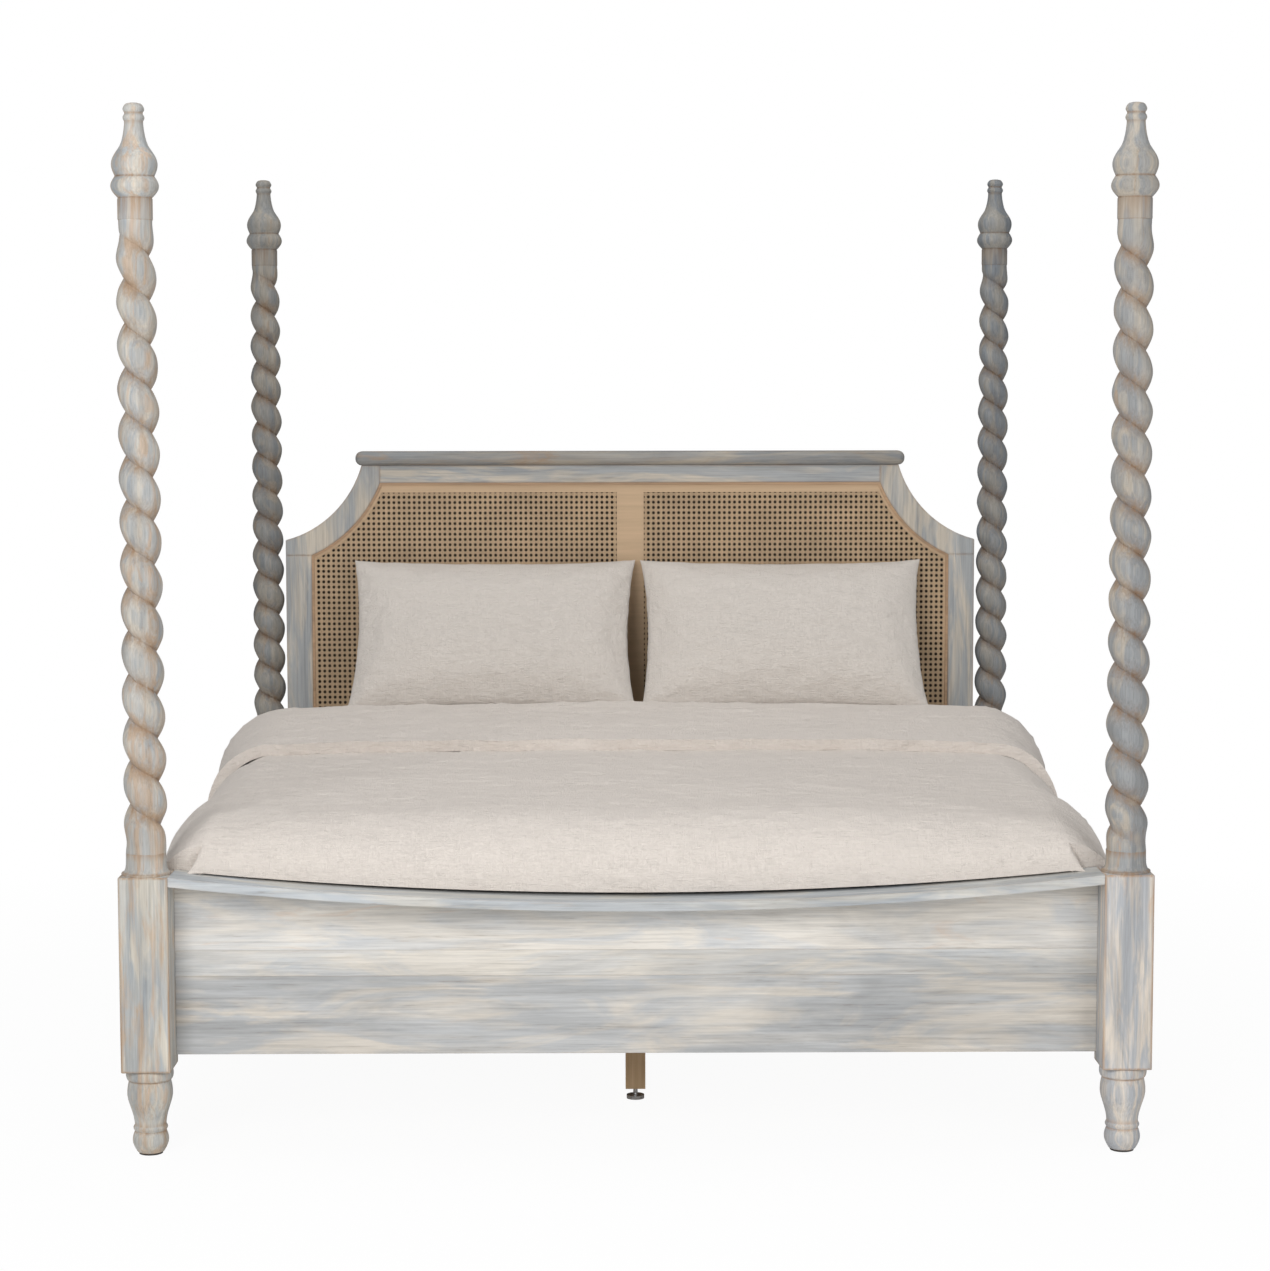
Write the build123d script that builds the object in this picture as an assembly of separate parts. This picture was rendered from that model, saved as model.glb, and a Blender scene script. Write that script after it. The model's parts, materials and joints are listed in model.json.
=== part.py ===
from build123d import *
import math
import os

os.makedirs("parts", exist_ok=True)

# King four-poster bed. Millimetres, +Z up, +X across, +Y from foot to head,
# origin on the floor under the middle of the bed.

# Mattress, the standard size that the frame is built round
mattress_width = 1930
mattress_length = 2030
mattress_thick = 280
mattress_corner_r = 90
mattress_edge_r = 40
mattress_side_gap = 13
mattress_foot_gap = 13
mattress_head_gap = 13

# Clearances
soft_gap = 0.3
bore_gap = 0.3
end_play = 1

# Legs: square block over a turned foot
block_size = 104
block_top = 598
block_bottom = 183
block_edge = 3
foot_base_r = 29
foot_bulb_r = 37
foot_bulb_top = 49
foot_neck_r = 33.5
foot_ring_r = 36
foot_ring_top = 63
foot_waist_top = 84
foot_vase_r = 48
foot_vase_z = 128
foot_vase_top = 158
foot_vase_neck_r = 44
foot_disc_r = 50
foot_disc_z = 163

# Glide under each foot
glide_r = 25
glide_thick = 4
glide_stem_r = 3
glide_stem_length = 16

# Twisted posts
post_top = 2047
base_lip_r = 52
base_lip_thick = 4
base_r = 42
base_cove_top = 618
base_top = 644
twist_bottom_r = 38.5
twist_top_r = 33.5
twist_sway = 7.3
twist_top = 1958
twist_sides = 8
twist_steps = 8
twist_pitch = {"front_left": 91, "front_right": 86.5, "back_left": 84.5, "back_right": 85.5}
twist_start = {"front_left": 62, "front_right": 205, "back_left": 150, "back_right": 20}
neck_r = 36
neck_top = 2003
collar_r = 47.4
collar_seat_r = 41

# Finials
finial_base_r = 40
finial_bulb_r = 46.7
finial_bulb_z = 2072
finial_shoulder_r = 33.5
finial_shoulder_z = 2103
finial_neck_r = 19.6
finial_neck_z = 2152
finial_ring_r = 22.2
finial_ring_bottom = 2160
finial_ring_top = 2173
finial_groove_r = 19
finial_button_r = 22
finial_button_bottom = 2177
finial_button_top = 2191
finial_top = 2197

# Studs between leg and post, pins between post and finial
stud_r = 6
stud_half_length = 55
pin_r = 8
pin_in_post = 35
pin_in_finial = 30

# Headboard frame
headboard_thick = 40
rail_bottom = 204
stile_width = 73
opening_bottom = 660
top_rail_height = 49
top_rail_top = 1396
bracket_centre_out = 79
bracket_centre_up = 86
bracket_outer_r = 308
bracket_inner_r = 373
lower_rail_height = 120
bottom_rail_height = 120

# Bull-nosed cap bar on the headboard
cap_bar_overhang = 17
cap_bar_height = 40
cap_bar_depth = 66
cap_bar_round = 19

# Cane, its bead and centre strip, and the back panel
groove_depth = 8
cane_thick = 2
cane_recess = 10
bead_width = 7
bead_depth = 7
centre_strip_width = 77
centre_strip_thick = 3
back_panel_thick = 6
back_panel_recess = 26

# Headboard bolts and their inserts in the back blocks
bolt_r = 4
bolt_head_r = 9
bolt_head_depth = 6
bolt_in_block = 35
bolt_heights = (370, 490)
insert_wall = 3
insert_length = 20

# Footboard
board_thick = 22
bottom_board_height = 168
middle_board_height = 55
footboard_cap_thick = 20
footboard_cap_dip = 54
footboard_cap_overhang = 3
board_dowel_r = 4
board_dowel_half = 20
board_dowel_count = 5
board_dowel_pitch = 400
tenon_thick = 10
tenon_height = 40
tenon_half = 30
tenons_up = (28, 118)

# Side rails, ledgers and slats
side_rail_height = 180
side_rail_thick = 30
ledger_width = 25
ledger_height = 40
ledger_end_gap = 40
slat_thick = 19
slat_width = 80
slat_count = 14
slats_below_rail = 39
slat_end_gap = 2
screw_r = 2.5
screw_head_r = 5
screw_head_thick = 3
screw_length = 45
screw_count = 6
screw_pitch = 360

# Hook plates on the rail ends and slotted plates in the blocks
plate_thick = 3
plate_width = 18
plate_height = 120
hook_thick = 3
hook_reach = 14
hook_height = 20
hook_drop = 7
hook_spread = 60
hook_gap = 1

# Centre beam, its hangers and its legs
beam_width = 45
beam_height = 70
hanger_thick = 3
hanger_reach = 40
hanger_height = 62
centre_leg_size = 45
centre_leg_bottom = 26
centre_leg_places = (-620, 0, 620)
leveller_pad_r = 20
leveller_pad_thick = 8
leveller_stem_r = 5
leveller_stem_top = 62
leveller_travel = 14
leveller_insert_length = 22
leg_stud_r = 3
leg_stud_half_length = 35

# Duvet
duvet_loft = 77
duvet_crown = 12
duvet_shoulder_in = 50
duvet_bend_out = 43
duvet_bend_up = 15
duvet_side_out = 93
duvet_side_down = 90
duvet_hem_out = 121
duvet_hem_below_rail = 34
duvet_hem_drop = 16
duvet_tight = 42
duvet_tight_length = 520
duvet_foot_overhang = 38
duvet_foot_round = 200
duvet_foot_post_gap = 23
duvet_tuck_depth = 155
duvet_tuck_in = 65
duvet_fold_from_head = 911
duvet_fold_step = 28
duvet_fold_loft = 62
duvet_fold_side = 40
duvet_fold_edge = 16
duvet_crease_from_head = 246
duvet_crease_round = 150
duvet_rail_gap = 3
duvet_sway = 8
duvet_sway_pitch = 560
duvet_section_pitch = 140
duvet_overlap = 4

# Pillows
pillow_width = 800
pillow_height = 500
pillow_thick = 165
pillow_edge_thick = 14
pillow_draw_in = 26
pillow_top_dip = 14
pillow_lean = 36
pillow_gap = 4
pillow_shift = 20

# Places worked out from the sizes above
half_inner_x = mattress_width / 2 + mattress_side_gap
post_x = half_inner_x + block_size / 2
post_y = (mattress_length + mattress_foot_gap + mattress_head_gap
          + block_size / 2 + headboard_thick / 2) / 2
inner_y = post_y - block_size / 2
headboard_front = post_y - headboard_thick / 2
mattress_foot_y = -inner_y + mattress_foot_gap
mattress_head_y = mattress_foot_y + mattress_length
rail_top = rail_bottom + side_rail_height
slat_top = rail_top - slats_below_rail
mattress_bottom = slat_top + soft_gap
mattress_top = mattress_bottom + mattress_thick
slat_bottom = slat_top - slat_thick
beam_bottom = slat_bottom - beam_height
rail_outer_x = half_inner_x + side_rail_thick
rail_centre_x = half_inner_x + side_rail_thick / 2
plate_centre_z = rail_bottom + side_rail_height / 2
opening_half_x = half_inner_x - stile_width
opening_top = top_rail_top - top_rail_height
bracket_centre_x = half_inner_x + bracket_centre_out
bracket_centre_z = top_rail_top + bracket_centre_up
cane_y = headboard_front + cane_recess
back_panel_y = headboard_front + back_panel_recess
cap_front_y = -post_y - block_size / 2
cap_back_y = -inner_y + footboard_cap_overhang
cap_curve_r = (half_inner_x ** 2 + footboard_cap_dip ** 2) / (2 * footboard_cap_dip)
cap_curve_z = block_top - footboard_cap_dip + cap_curve_r
board_joint_low = rail_bottom + bottom_board_height
board_joint_high = board_joint_low + middle_board_height
tenon_heights = [board_joint_low + up for up in tenons_up]
duvet_shoulder_x = mattress_width / 2 - duvet_shoulder_in
duvet_bend_x = mattress_width / 2 + duvet_bend_out
duvet_bend_z = mattress_top + duvet_bend_up
duvet_side_x = mattress_width / 2 + duvet_side_out
duvet_side_z = mattress_top - duvet_side_down
duvet_hem_x = mattress_width / 2 + duvet_hem_out
duvet_hem_z = rail_top - duvet_hem_below_rail
duvet_foot_half_x = half_inner_x - duvet_foot_post_gap
duvet_fold_y = mattress_head_y - duvet_fold_from_head
duvet_crease_y = mattress_head_y - duvet_crease_from_head
corners = {
    "front_left": (-1, -1),
    "front_right": (1, -1),
    "back_left": (-1, 1),
    "back_right": (1, 1),
}
sides = {"left": -1, "right": 1}


def save(name, shape):
    export_step(shape, f"parts/{name}.step")


def group(solids):
    return Compound(children=list(solids))


def box_between(x, y, z):
    """A box from its lowest and highest value along each axis."""
    middle = Pos((x[0] + x[1]) / 2, (y[0] + y[1]) / 2, (z[0] + z[1]) / 2)
    return middle * Box(x[1] - x[0], y[1] - y[0], z[1] - z[0])


def upright_rod(radius, bottom, top):
    return Pos(0, 0, (bottom + top) / 2) * Cylinder(radius, top - bottom)


def cross_rod(radius, x0, x1):
    return Pos((x0 + x1) / 2, 0, 0) * Rot(0, 90, 0) * Cylinder(radius, x1 - x0)


def turned(edges):
    """Revolve an outline, drawn as radius and height, about the upright axis."""
    return revolve(Plane.XZ * make_face(edges), Axis.Z)


def slab(face, y_front, thick):
    """A flat piece standing across the bed, cut to an outline of x and height."""
    plane = Plane(origin=(0, y_front, 0), x_dir=(1, 0, 0), z_dir=(0, -1, 0))
    return extrude(plane * face, amount=-thick)


def on_side(shape, side):
    return shape if side > 0 else mirror(shape, Plane.YZ)


def in_corner(shape, side, end):
    """Move what is drawn for the back right corner to any corner."""
    moved = on_side(shape, side)
    return moved if end > 0 else mirror(moved, Plane.XZ)


# Legs
def turned_foot():
    bottom = glide_thick
    return turned([
        Line((0, bottom), (foot_base_r, bottom)),
        ThreePointArc((foot_base_r, bottom), (foot_bulb_r, (bottom + foot_bulb_top) / 2),
                      (foot_neck_r, foot_bulb_top)),
        ThreePointArc((foot_neck_r, foot_bulb_top),
                      (foot_ring_r, (foot_bulb_top + foot_ring_top) / 2),
                      (foot_neck_r, foot_ring_top)),
        Line((foot_neck_r, foot_ring_top), (foot_ring_r, foot_waist_top)),
        ThreePointArc((foot_ring_r, foot_waist_top), (foot_vase_r, foot_vase_z),
                      (foot_vase_neck_r, foot_vase_top)),
        Line((foot_vase_neck_r, foot_vase_top), (foot_disc_r, foot_disc_z)),
        Line((foot_disc_r, foot_disc_z), (foot_disc_r, block_bottom)),
        Line((foot_disc_r, block_bottom), (0, block_bottom)),
        Line((0, block_bottom), (0, bottom)),
    ])


def hook_heights():
    return (plate_centre_z - hook_spread / 2, plate_centre_z + hook_spread / 2)


def plate_outline(y0, y1):
    half = plate_height / 2
    return box_between((rail_centre_x - plate_width / 2, rail_centre_x + plate_width / 2),
                       (y0, y1), (plate_centre_z - half, plate_centre_z + half))


def hook_slot(height, y0, y1):
    """The room that a hook needs to go in and drop."""
    half = hook_thick / 2 + hook_gap
    return box_between((rail_centre_x - half, rail_centre_x + half), (y0, y1),
                       (height - hook_height / 2, height + hook_height / 2 + hook_drop))


def hook_pocket(height):
    half = hook_thick / 2 + hook_gap
    drop = hook_height / 2 + hook_drop + hook_gap
    return box_between((rail_centre_x - half, rail_centre_x + half),
                       (inner_y, inner_y + plate_thick + hook_reach + hook_gap),
                       (height - drop, height + drop))


def make_leg(side, end):
    block = box_between((-block_size / 2, block_size / 2), (-block_size / 2, block_size / 2),
                        (block_bottom, block_top))
    block = chamfer(block.edges().filter_by(Axis.Z), block_edge)
    leg = block + turned_foot()
    leg -= upright_rod(stud_r + bore_gap, block_top - stud_half_length - end_play, block_top)
    leg -= upright_rod(glide_stem_r + bore_gap, glide_thick,
                       glide_thick + glide_stem_length + end_play)
    leg = Pos(side * post_x, end * post_y, 0) * leg
    leg -= in_corner(plate_outline(inner_y, inner_y + plate_thick), side, end)
    for height in hook_heights():
        leg -= in_corner(hook_pocket(height), side, end)
    if end > 0:
        for height in bolt_heights:
            leg -= on_side(Pos(0, post_y, height) * cross_rod(
                bolt_r + insert_wall + bore_gap, half_inner_x, half_inner_x + insert_length), side)
            leg -= on_side(Pos(0, post_y, height) * cross_rod(
                bolt_r + bore_gap, half_inner_x, half_inner_x + bolt_in_block + end_play), side)
    else:
        for height in tenon_heights:
            leg -= on_side(tenon(height, bore_gap), side)
    return leg


def make_glide():
    pad = upright_rod(glide_r, 0, glide_thick)
    return pad + upright_rod(glide_stem_r, glide_thick, glide_thick + glide_stem_length)


def make_post_stud():
    return upright_rod(stud_r, block_top - stud_half_length, block_top + stud_half_length)


# Twisted posts
def turned_base():
    foot = block_top
    lip_top = foot + base_lip_thick
    cove_middle = ((base_lip_r + 2 * base_r) / 3, (lip_top + base_cove_top) / 2)
    return turned([
        Line((0, foot), (base_lip_r, foot)),
        Line((base_lip_r, foot), (base_lip_r, lip_top)),
        ThreePointArc((base_lip_r, lip_top), cove_middle, (base_r, base_cove_top)),
        Line((base_r, base_cove_top), (base_r, base_top)),
        Line((base_r, base_top), (0, base_top)),
        Line((0, base_top), (0, foot)),
    ])


def turned_top():
    return turned([
        Line((0, twist_top), (neck_r, twist_top)),
        Line((neck_r, twist_top), (neck_r, neck_top)),
        ThreePointArc((neck_r, neck_top), (collar_r, (neck_top + post_top) / 2),
                      (collar_seat_r, post_top)),
        Line((collar_seat_r, post_top), (0, post_top)),
        Line((0, post_top), (0, twist_top)),
    ])


def twisted_shaft(corner):
    """One rope-like strand that climbs left-handed round the post's axis."""
    bottom = base_top - end_play
    top = twist_top + end_play
    turns = (top - bottom) / twist_pitch[corner]
    count = round(turns * twist_steps)
    ramp = twist_steps / 2
    equal_area = math.sqrt(2 * math.pi / twist_sides / math.sin(2 * math.pi / twist_sides))
    sections = []
    for i in range(count + 1):
        share = i / count
        angle = math.radians(twist_start[corner]) - 2 * math.pi * turns * share
        sway = twist_sway * min(1, i / ramp, (count - i) / ramp)
        radius = twist_bottom_r + (twist_top_r - twist_bottom_r) * share
        origin = (sway * math.cos(angle), sway * math.sin(angle), bottom + (top - bottom) * share)
        sections.append(Plane(origin=origin) * RegularPolygon(radius * equal_area, twist_sides))
    return loft(sections, ruled=True)


def make_twisted_post(corner):
    post = turned_base() + twisted_shaft(corner) + turned_top()
    post -= upright_rod(stud_r + bore_gap, block_top, block_top + stud_half_length + end_play)
    post -= upright_rod(pin_r, post_top - pin_in_post, post_top)
    return post


def make_pin():
    return upright_rod(pin_r, post_top - pin_in_post, post_top + pin_in_finial)


# Finials
def make_finial():
    seat = post_top
    slope = ((finial_shoulder_r + finial_neck_r) / 2 - 3,
             (finial_shoulder_z + finial_neck_z) / 2 - 3)
    ring_middle = (finial_ring_bottom + finial_ring_top) / 2
    button_middle = (finial_button_bottom + finial_button_top) / 2
    finial = turned([
        Line((0, seat), (finial_base_r, seat)),
        ThreePointArc((finial_base_r, seat), (finial_bulb_r, finial_bulb_z),
                      (finial_shoulder_r, finial_shoulder_z)),
        ThreePointArc((finial_shoulder_r, finial_shoulder_z), slope,
                      (finial_neck_r, finial_neck_z)),
        Line((finial_neck_r, finial_neck_z), (finial_neck_r, finial_ring_bottom)),
        ThreePointArc((finial_neck_r, finial_ring_bottom), (finial_ring_r, ring_middle),
                      (finial_neck_r, finial_ring_top)),
        Line((finial_neck_r, finial_ring_top), (finial_groove_r, finial_button_bottom)),
        ThreePointArc((finial_groove_r, finial_button_bottom), (finial_button_r, button_middle),
                      (finial_groove_r, finial_button_top)),
        Line((finial_groove_r, finial_button_top), (0, finial_top)),
        Line((0, finial_top), (0, seat)),
    ])
    return finial - upright_rod(pin_r + bore_gap, seat, seat + pin_in_finial + end_play)


# Headboard outlines, drawn as x and height
def bracket_point(radius, angle):
    return (bracket_centre_x + radius * math.cos(angle),
            bracket_centre_z + radius * math.sin(angle))


def bracket_angle_at_x(radius, x):
    """Where a circle round the bracket's centre meets an upright line below it."""
    return -math.acos((x - bracket_centre_x) / radius)


def bracket_angle_at_z(radius, z):
    """Where that circle meets a level line to the left of its centre."""
    return -math.pi - math.asin((z - bracket_centre_z) / radius)


def bracket_arc(radius, x_low, z_high):
    """The hollow corner curve from its low outer end to its high inner end."""
    low = bracket_angle_at_x(radius, x_low)
    high = bracket_angle_at_z(radius, z_high)
    points = [bracket_point(radius, a) for a in (low, (low + high) / 2, high)]
    return points


def flipped(point):
    return (-point[0], point[1])


def opening_face(grow):
    """The cane opening, grown or shrunk on every side."""
    half = opening_half_x + grow
    bottom = opening_bottom - grow
    low, middle, high = bracket_arc(bracket_inner_r - grow, half, opening_top + grow)
    return make_face([
        Line((-half, bottom), (half, bottom)),
        Line((half, bottom), low),
        ThreePointArc(low, middle, high),
        Line(high, flipped(high)),
        ThreePointArc(flipped(high), flipped(middle), flipped(low)),
        Line(flipped(low), (-half, bottom)),
    ])


def panel_grooves():
    cane = slab(opening_face(groove_depth), cane_y, cane_thick)
    back = slab(opening_face(groove_depth), back_panel_y, back_panel_thick)
    return cane + back


def bracket_low_z():
    return bracket_arc(bracket_inner_r, opening_half_x, opening_top)[0][1]


def bracket_high_x():
    return bracket_arc(bracket_inner_r, opening_half_x, opening_top)[2][0]


def make_stile(side, grooves):
    stile = box_between((opening_half_x, half_inner_x),
                        (headboard_front, headboard_front + headboard_thick),
                        (rail_bottom, bracket_low_z()))
    for height in bolt_heights:
        at_bolt = Pos(0, post_y, height)
        stile -= at_bolt * cross_rod(bolt_r + bore_gap, opening_half_x, half_inner_x)
        stile -= at_bolt * cross_rod(bolt_head_r + bore_gap, opening_half_x,
                                     opening_half_x + bolt_head_depth)
    return on_side(stile, side) - grooves


def make_bracket(side, grooves):
    inner_low, inner_middle, inner_high = bracket_arc(bracket_inner_r, opening_half_x, opening_top)
    outer_low, outer_middle, outer_high = bracket_arc(bracket_outer_r, half_inner_x, top_rail_top)
    face = make_face([
        ThreePointArc(inner_low, inner_middle, inner_high),
        Line(inner_high, (inner_high[0], top_rail_top)),
        Line((inner_high[0], top_rail_top), outer_high),
        ThreePointArc(outer_high, outer_middle, outer_low),
        Line(outer_low, (half_inner_x, inner_low[1])),
        Line((half_inner_x, inner_low[1]), inner_low),
    ])
    return on_side(slab(face, headboard_front, headboard_thick), side) - grooves


def headboard_rail(half_length, bottom, top):
    return box_between((-half_length, half_length),
                       (headboard_front, headboard_front + headboard_thick), (bottom, top))


def make_cap_bar():
    half = bracket_arc(bracket_outer_r, half_inner_x, top_rail_top)[2][0] + cap_bar_overhang
    bar = box_between((-half, half),
                      (post_y - cap_bar_depth / 2, post_y + cap_bar_depth / 2),
                      (top_rail_top, top_rail_top + cap_bar_height))
    bar = fillet(bar.edges().filter_by(Axis.Z), cap_bar_round)
    rims = bar.faces().sort_by(Axis.Z)[0].edges() + bar.faces().sort_by(Axis.Z)[-1].edges()
    return fillet(rims, cap_bar_round - end_play)


def make_cane(side):
    sheet = slab(opening_face(groove_depth - bore_gap), cane_y, cane_thick)
    half = box_between((0, half_inner_x), (0, 2 * post_y), (0, post_top))
    return sheet & on_side(half, side)


def make_back_panel():
    return slab(opening_face(groove_depth - bore_gap), back_panel_y, back_panel_thick)


def make_bead():
    ring = opening_face(0) - opening_face(-bead_width)
    return slab(ring, cane_y - bead_depth, bead_depth)


def make_centre_strip():
    half = centre_strip_width / 2
    return box_between((-half, half), (cane_y - centre_strip_thick, cane_y),
                       (opening_bottom + bead_width, opening_top - bead_width))


def headboard_bolt():
    shank = cross_rod(bolt_r, opening_half_x + bolt_head_depth, half_inner_x + bolt_in_block)
    return shank + cross_rod(bolt_head_r, opening_half_x, opening_half_x + bolt_head_depth)


def bolt_insert():
    barrel = cross_rod(bolt_r + insert_wall, half_inner_x, half_inner_x + insert_length)
    return barrel - cross_rod(bolt_r + bore_gap, half_inner_x, half_inner_x + insert_length)


def at_each_bolt(make):
    return group(on_side(Pos(0, post_y, height) * make(), side)
                 for side in sides.values() for height in bolt_heights)


# Footboard
def cap_curve_point(x, below):
    """Height of the hollow top curve at x, or of a line the same way below it."""
    radius = cap_curve_r + below
    return (x, cap_curve_z - math.sqrt(radius ** 2 - x ** 2))


def hollow_arc(half, below):
    left, middle, right = (cap_curve_point(x, below) for x in (-half, 0, half))
    return left, middle, right


def make_footboard_cap():
    left, middle, right = hollow_arc(half_inner_x, 0)
    low_left, low_middle, low_right = hollow_arc(half_inner_x, footboard_cap_thick)
    face = make_face([
        ThreePointArc(left, middle, right),
        Line(right, low_right),
        ThreePointArc(low_right, low_middle, low_left),
        Line(low_left, left),
    ])
    return slab(face, cap_front_y, cap_back_y - cap_front_y)


def board_dowel_places(joint):
    middle = (board_dowel_count - 1) / 2
    return [((i - middle) * board_dowel_pitch, -inner_y - board_thick / 2, joint)
            for i in range(board_dowel_count)]


def tenon(height, gap):
    """A loose tenon half in the board's end and half in the block."""
    y = -inner_y - board_thick / 2
    return box_between((half_inner_x - tenon_half - gap, half_inner_x + tenon_half + gap),
                       (y - tenon_thick / 2 - gap, y + tenon_thick / 2 + gap),
                       (height - tenon_height / 2 - gap, height + tenon_height / 2 + gap))


def bored(board):
    """Cut a board for the dowels and tenons that reach into it."""
    for joint in (board_joint_low, board_joint_high):
        for place in board_dowel_places(joint):
            board -= Pos(*place) * Cylinder(board_dowel_r + bore_gap,
                                            2 * board_dowel_half + 2 * end_play)
    for height in tenon_heights:
        for side in sides.values():
            board -= on_side(tenon(height, bore_gap), side)
    return board


def straight_board(bottom, top):
    return bored(box_between((-half_inner_x, half_inner_x),
                             (-inner_y - board_thick, -inner_y), (bottom, top)))


def make_top_board():
    left, middle, right = hollow_arc(half_inner_x, footboard_cap_thick)
    face = make_face([
        ThreePointArc(left, middle, right),
        Line(right, (half_inner_x, board_joint_high)),
        Line((half_inner_x, board_joint_high), (-half_inner_x, board_joint_high)),
        Line((-half_inner_x, board_joint_high), left),
    ])
    return bored(slab(face, -inner_y - board_thick, board_thick))


def make_board_dowels():
    return group(Pos(*place) * Cylinder(board_dowel_r, 2 * board_dowel_half)
                 for joint in (board_joint_low, board_joint_high)
                 for place in board_dowel_places(joint))


# Side rails, ledgers and slats
def screw_places():
    middle = (screw_count - 1) / 2
    return [(i - middle) * screw_pitch for i in range(screw_count)]


def ledger_screw(gap):
    x0 = half_inner_x - ledger_width
    shank = cross_rod(screw_r + gap, x0 + screw_head_thick, x0 + screw_length + gap)
    return shank + cross_rod(screw_head_r + gap, x0, x0 + screw_head_thick)


def screw_line(y, gap):
    return Pos(0, y, slat_bottom - ledger_height / 2) * ledger_screw(gap)


def make_side_rail(side):
    rail = box_between((half_inner_x, rail_outer_x), (-inner_y, inner_y), (rail_bottom, rail_top))
    recess = plate_outline(inner_y - plate_thick, inner_y)
    rail -= recess
    rail -= mirror(recess, Plane.XZ)
    for y in screw_places():
        rail -= screw_line(y, bore_gap)
    return on_side(rail, side)


def make_ledger(side):
    ledger = box_between((half_inner_x - ledger_width, half_inner_x),
                         (-inner_y + ledger_end_gap, inner_y - ledger_end_gap),
                         (slat_bottom - ledger_height, slat_bottom))
    for y in screw_places():
        ledger -= screw_line(y, bore_gap)
    return on_side(ledger, side)


def make_slats():
    half_x = half_inner_x - slat_end_gap
    reach = inner_y - ledger_end_gap - slat_width / 2
    pitch = 2 * reach / (slat_count - 1)
    return group(box_between((-half_x, half_x),
                             (i * pitch - reach - slat_width / 2,
                              i * pitch - reach + slat_width / 2),
                             (slat_bottom, slat_top)) for i in range(slat_count))


def make_hook_plate():
    plate = plate_outline(inner_y - plate_thick, inner_y)
    half = hook_thick / 2
    for height in hook_heights():
        plate += box_between((rail_centre_x - half, rail_centre_x + half),
                             (inner_y, inner_y + plate_thick + hook_reach),
                             (height - hook_height / 2, height + hook_height / 2))
        plate += box_between((rail_centre_x - half, rail_centre_x + half),
                             (inner_y + plate_thick + hook_gap, inner_y + plate_thick + hook_reach),
                             (height - hook_height / 2 - hook_drop, height))
    return plate


def make_slot_plate():
    plate = plate_outline(inner_y, inner_y + plate_thick)
    for height in hook_heights():
        plate -= hook_slot(height, inner_y, inner_y + plate_thick)
    return plate


def in_each_corner(shape):
    return group(in_corner(shape, side, end) for side, end in corners.values())


# Centre beam
def beam_end(end):
    """The face that carries the beam at the foot or at the head."""
    return inner_y if end < 0 else headboard_front


def make_beam():
    half = beam_width / 2
    beam = box_between((-half, half), (-beam_end(-1) + hanger_thick, beam_end(1) - hanger_thick),
                       (beam_bottom, slat_bottom))
    for y in centre_leg_places:
        beam -= Pos(0, y, 0) * upright_rod(leg_stud_r + bore_gap, beam_bottom,
                                           beam_bottom + leg_stud_half_length + end_play)
    return beam


def make_hanger(end):
    face = beam_end(end)
    half = beam_width / 2 + bore_gap
    outer = box_between((-half - hanger_thick, half + hanger_thick),
                        (face - hanger_reach, face),
                        (beam_bottom - hanger_thick, beam_bottom + hanger_height))
    outer -= box_between((-half, half), (face - hanger_reach, face - hanger_thick),
                         (beam_bottom, beam_bottom + hanger_height))
    return outer if end > 0 else mirror(outer, Plane.XZ)


def make_centre_leg(y):
    half = centre_leg_size / 2
    leg = box_between((-half, half), (-half, half), (centre_leg_bottom, beam_bottom))
    leg -= upright_rod(leg_stud_r + bore_gap,
                       beam_bottom - leg_stud_half_length - end_play, beam_bottom)
    leg -= upright_rod(leveller_stem_r + insert_wall, centre_leg_bottom,
                       centre_leg_bottom + leveller_insert_length)
    leg -= upright_rod(leveller_stem_r + bore_gap, centre_leg_bottom,
                       leveller_stem_top + leveller_travel + end_play)
    return Pos(0, y, 0) * leg


def leveller_insert():
    top = centre_leg_bottom + leveller_insert_length
    barrel = upright_rod(leveller_stem_r + insert_wall, centre_leg_bottom, top)
    return barrel - upright_rod(leveller_stem_r + bore_gap, centre_leg_bottom, top)


def make_leveller(y):
    pad = upright_rod(leveller_pad_r, 0, leveller_pad_thick)
    stem = upright_rod(leveller_stem_r, leveller_pad_thick, leveller_stem_top)
    return Pos(0, y, 0) * (pad + stem)


def leg_stud():
    return upright_rod(leg_stud_r, beam_bottom - leg_stud_half_length,
                       beam_bottom + leg_stud_half_length)


def at_each_centre_leg(shape):
    return group(Pos(0, y, 0) * shape for y in centre_leg_places)


# Mattress
def make_mattress():
    body = box_between((-mattress_width / 2, mattress_width / 2),
                       (mattress_foot_y, mattress_head_y), (mattress_bottom, mattress_top))
    body = fillet(body.edges().filter_by(Axis.Z), mattress_corner_r)
    rims = body.faces().sort_by(Axis.Z)[0].edges() + body.faces().sort_by(Axis.Z)[-1].edges()
    return fillet(rims, mattress_edge_r)


# Duvet
def round_over(share):
    """Quarter-round ease from 0 at an edge to 1 on the flat."""
    share = max(0, min(1, share))
    return math.sqrt(1 - (1 - share) ** 2)


def duvet_foot_y():
    return cap_back_y - duvet_foot_overhang


def duvet_rise(y, rest, full):
    """From a height at the foot end up to the full loft over the mattress."""
    return rest + (full - rest) * round_over((y - duvet_foot_y()) / duvet_foot_round)


def duvet_top(y):
    return duvet_rise(y, cap_curve_point(0, -soft_gap)[1], mattress_top + duvet_loft)


def duvet_shoulder(y):
    return duvet_rise(y, cap_curve_point(duvet_shoulder_x, -soft_gap)[1],
                      mattress_top + duvet_loft - duvet_crown)


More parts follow.
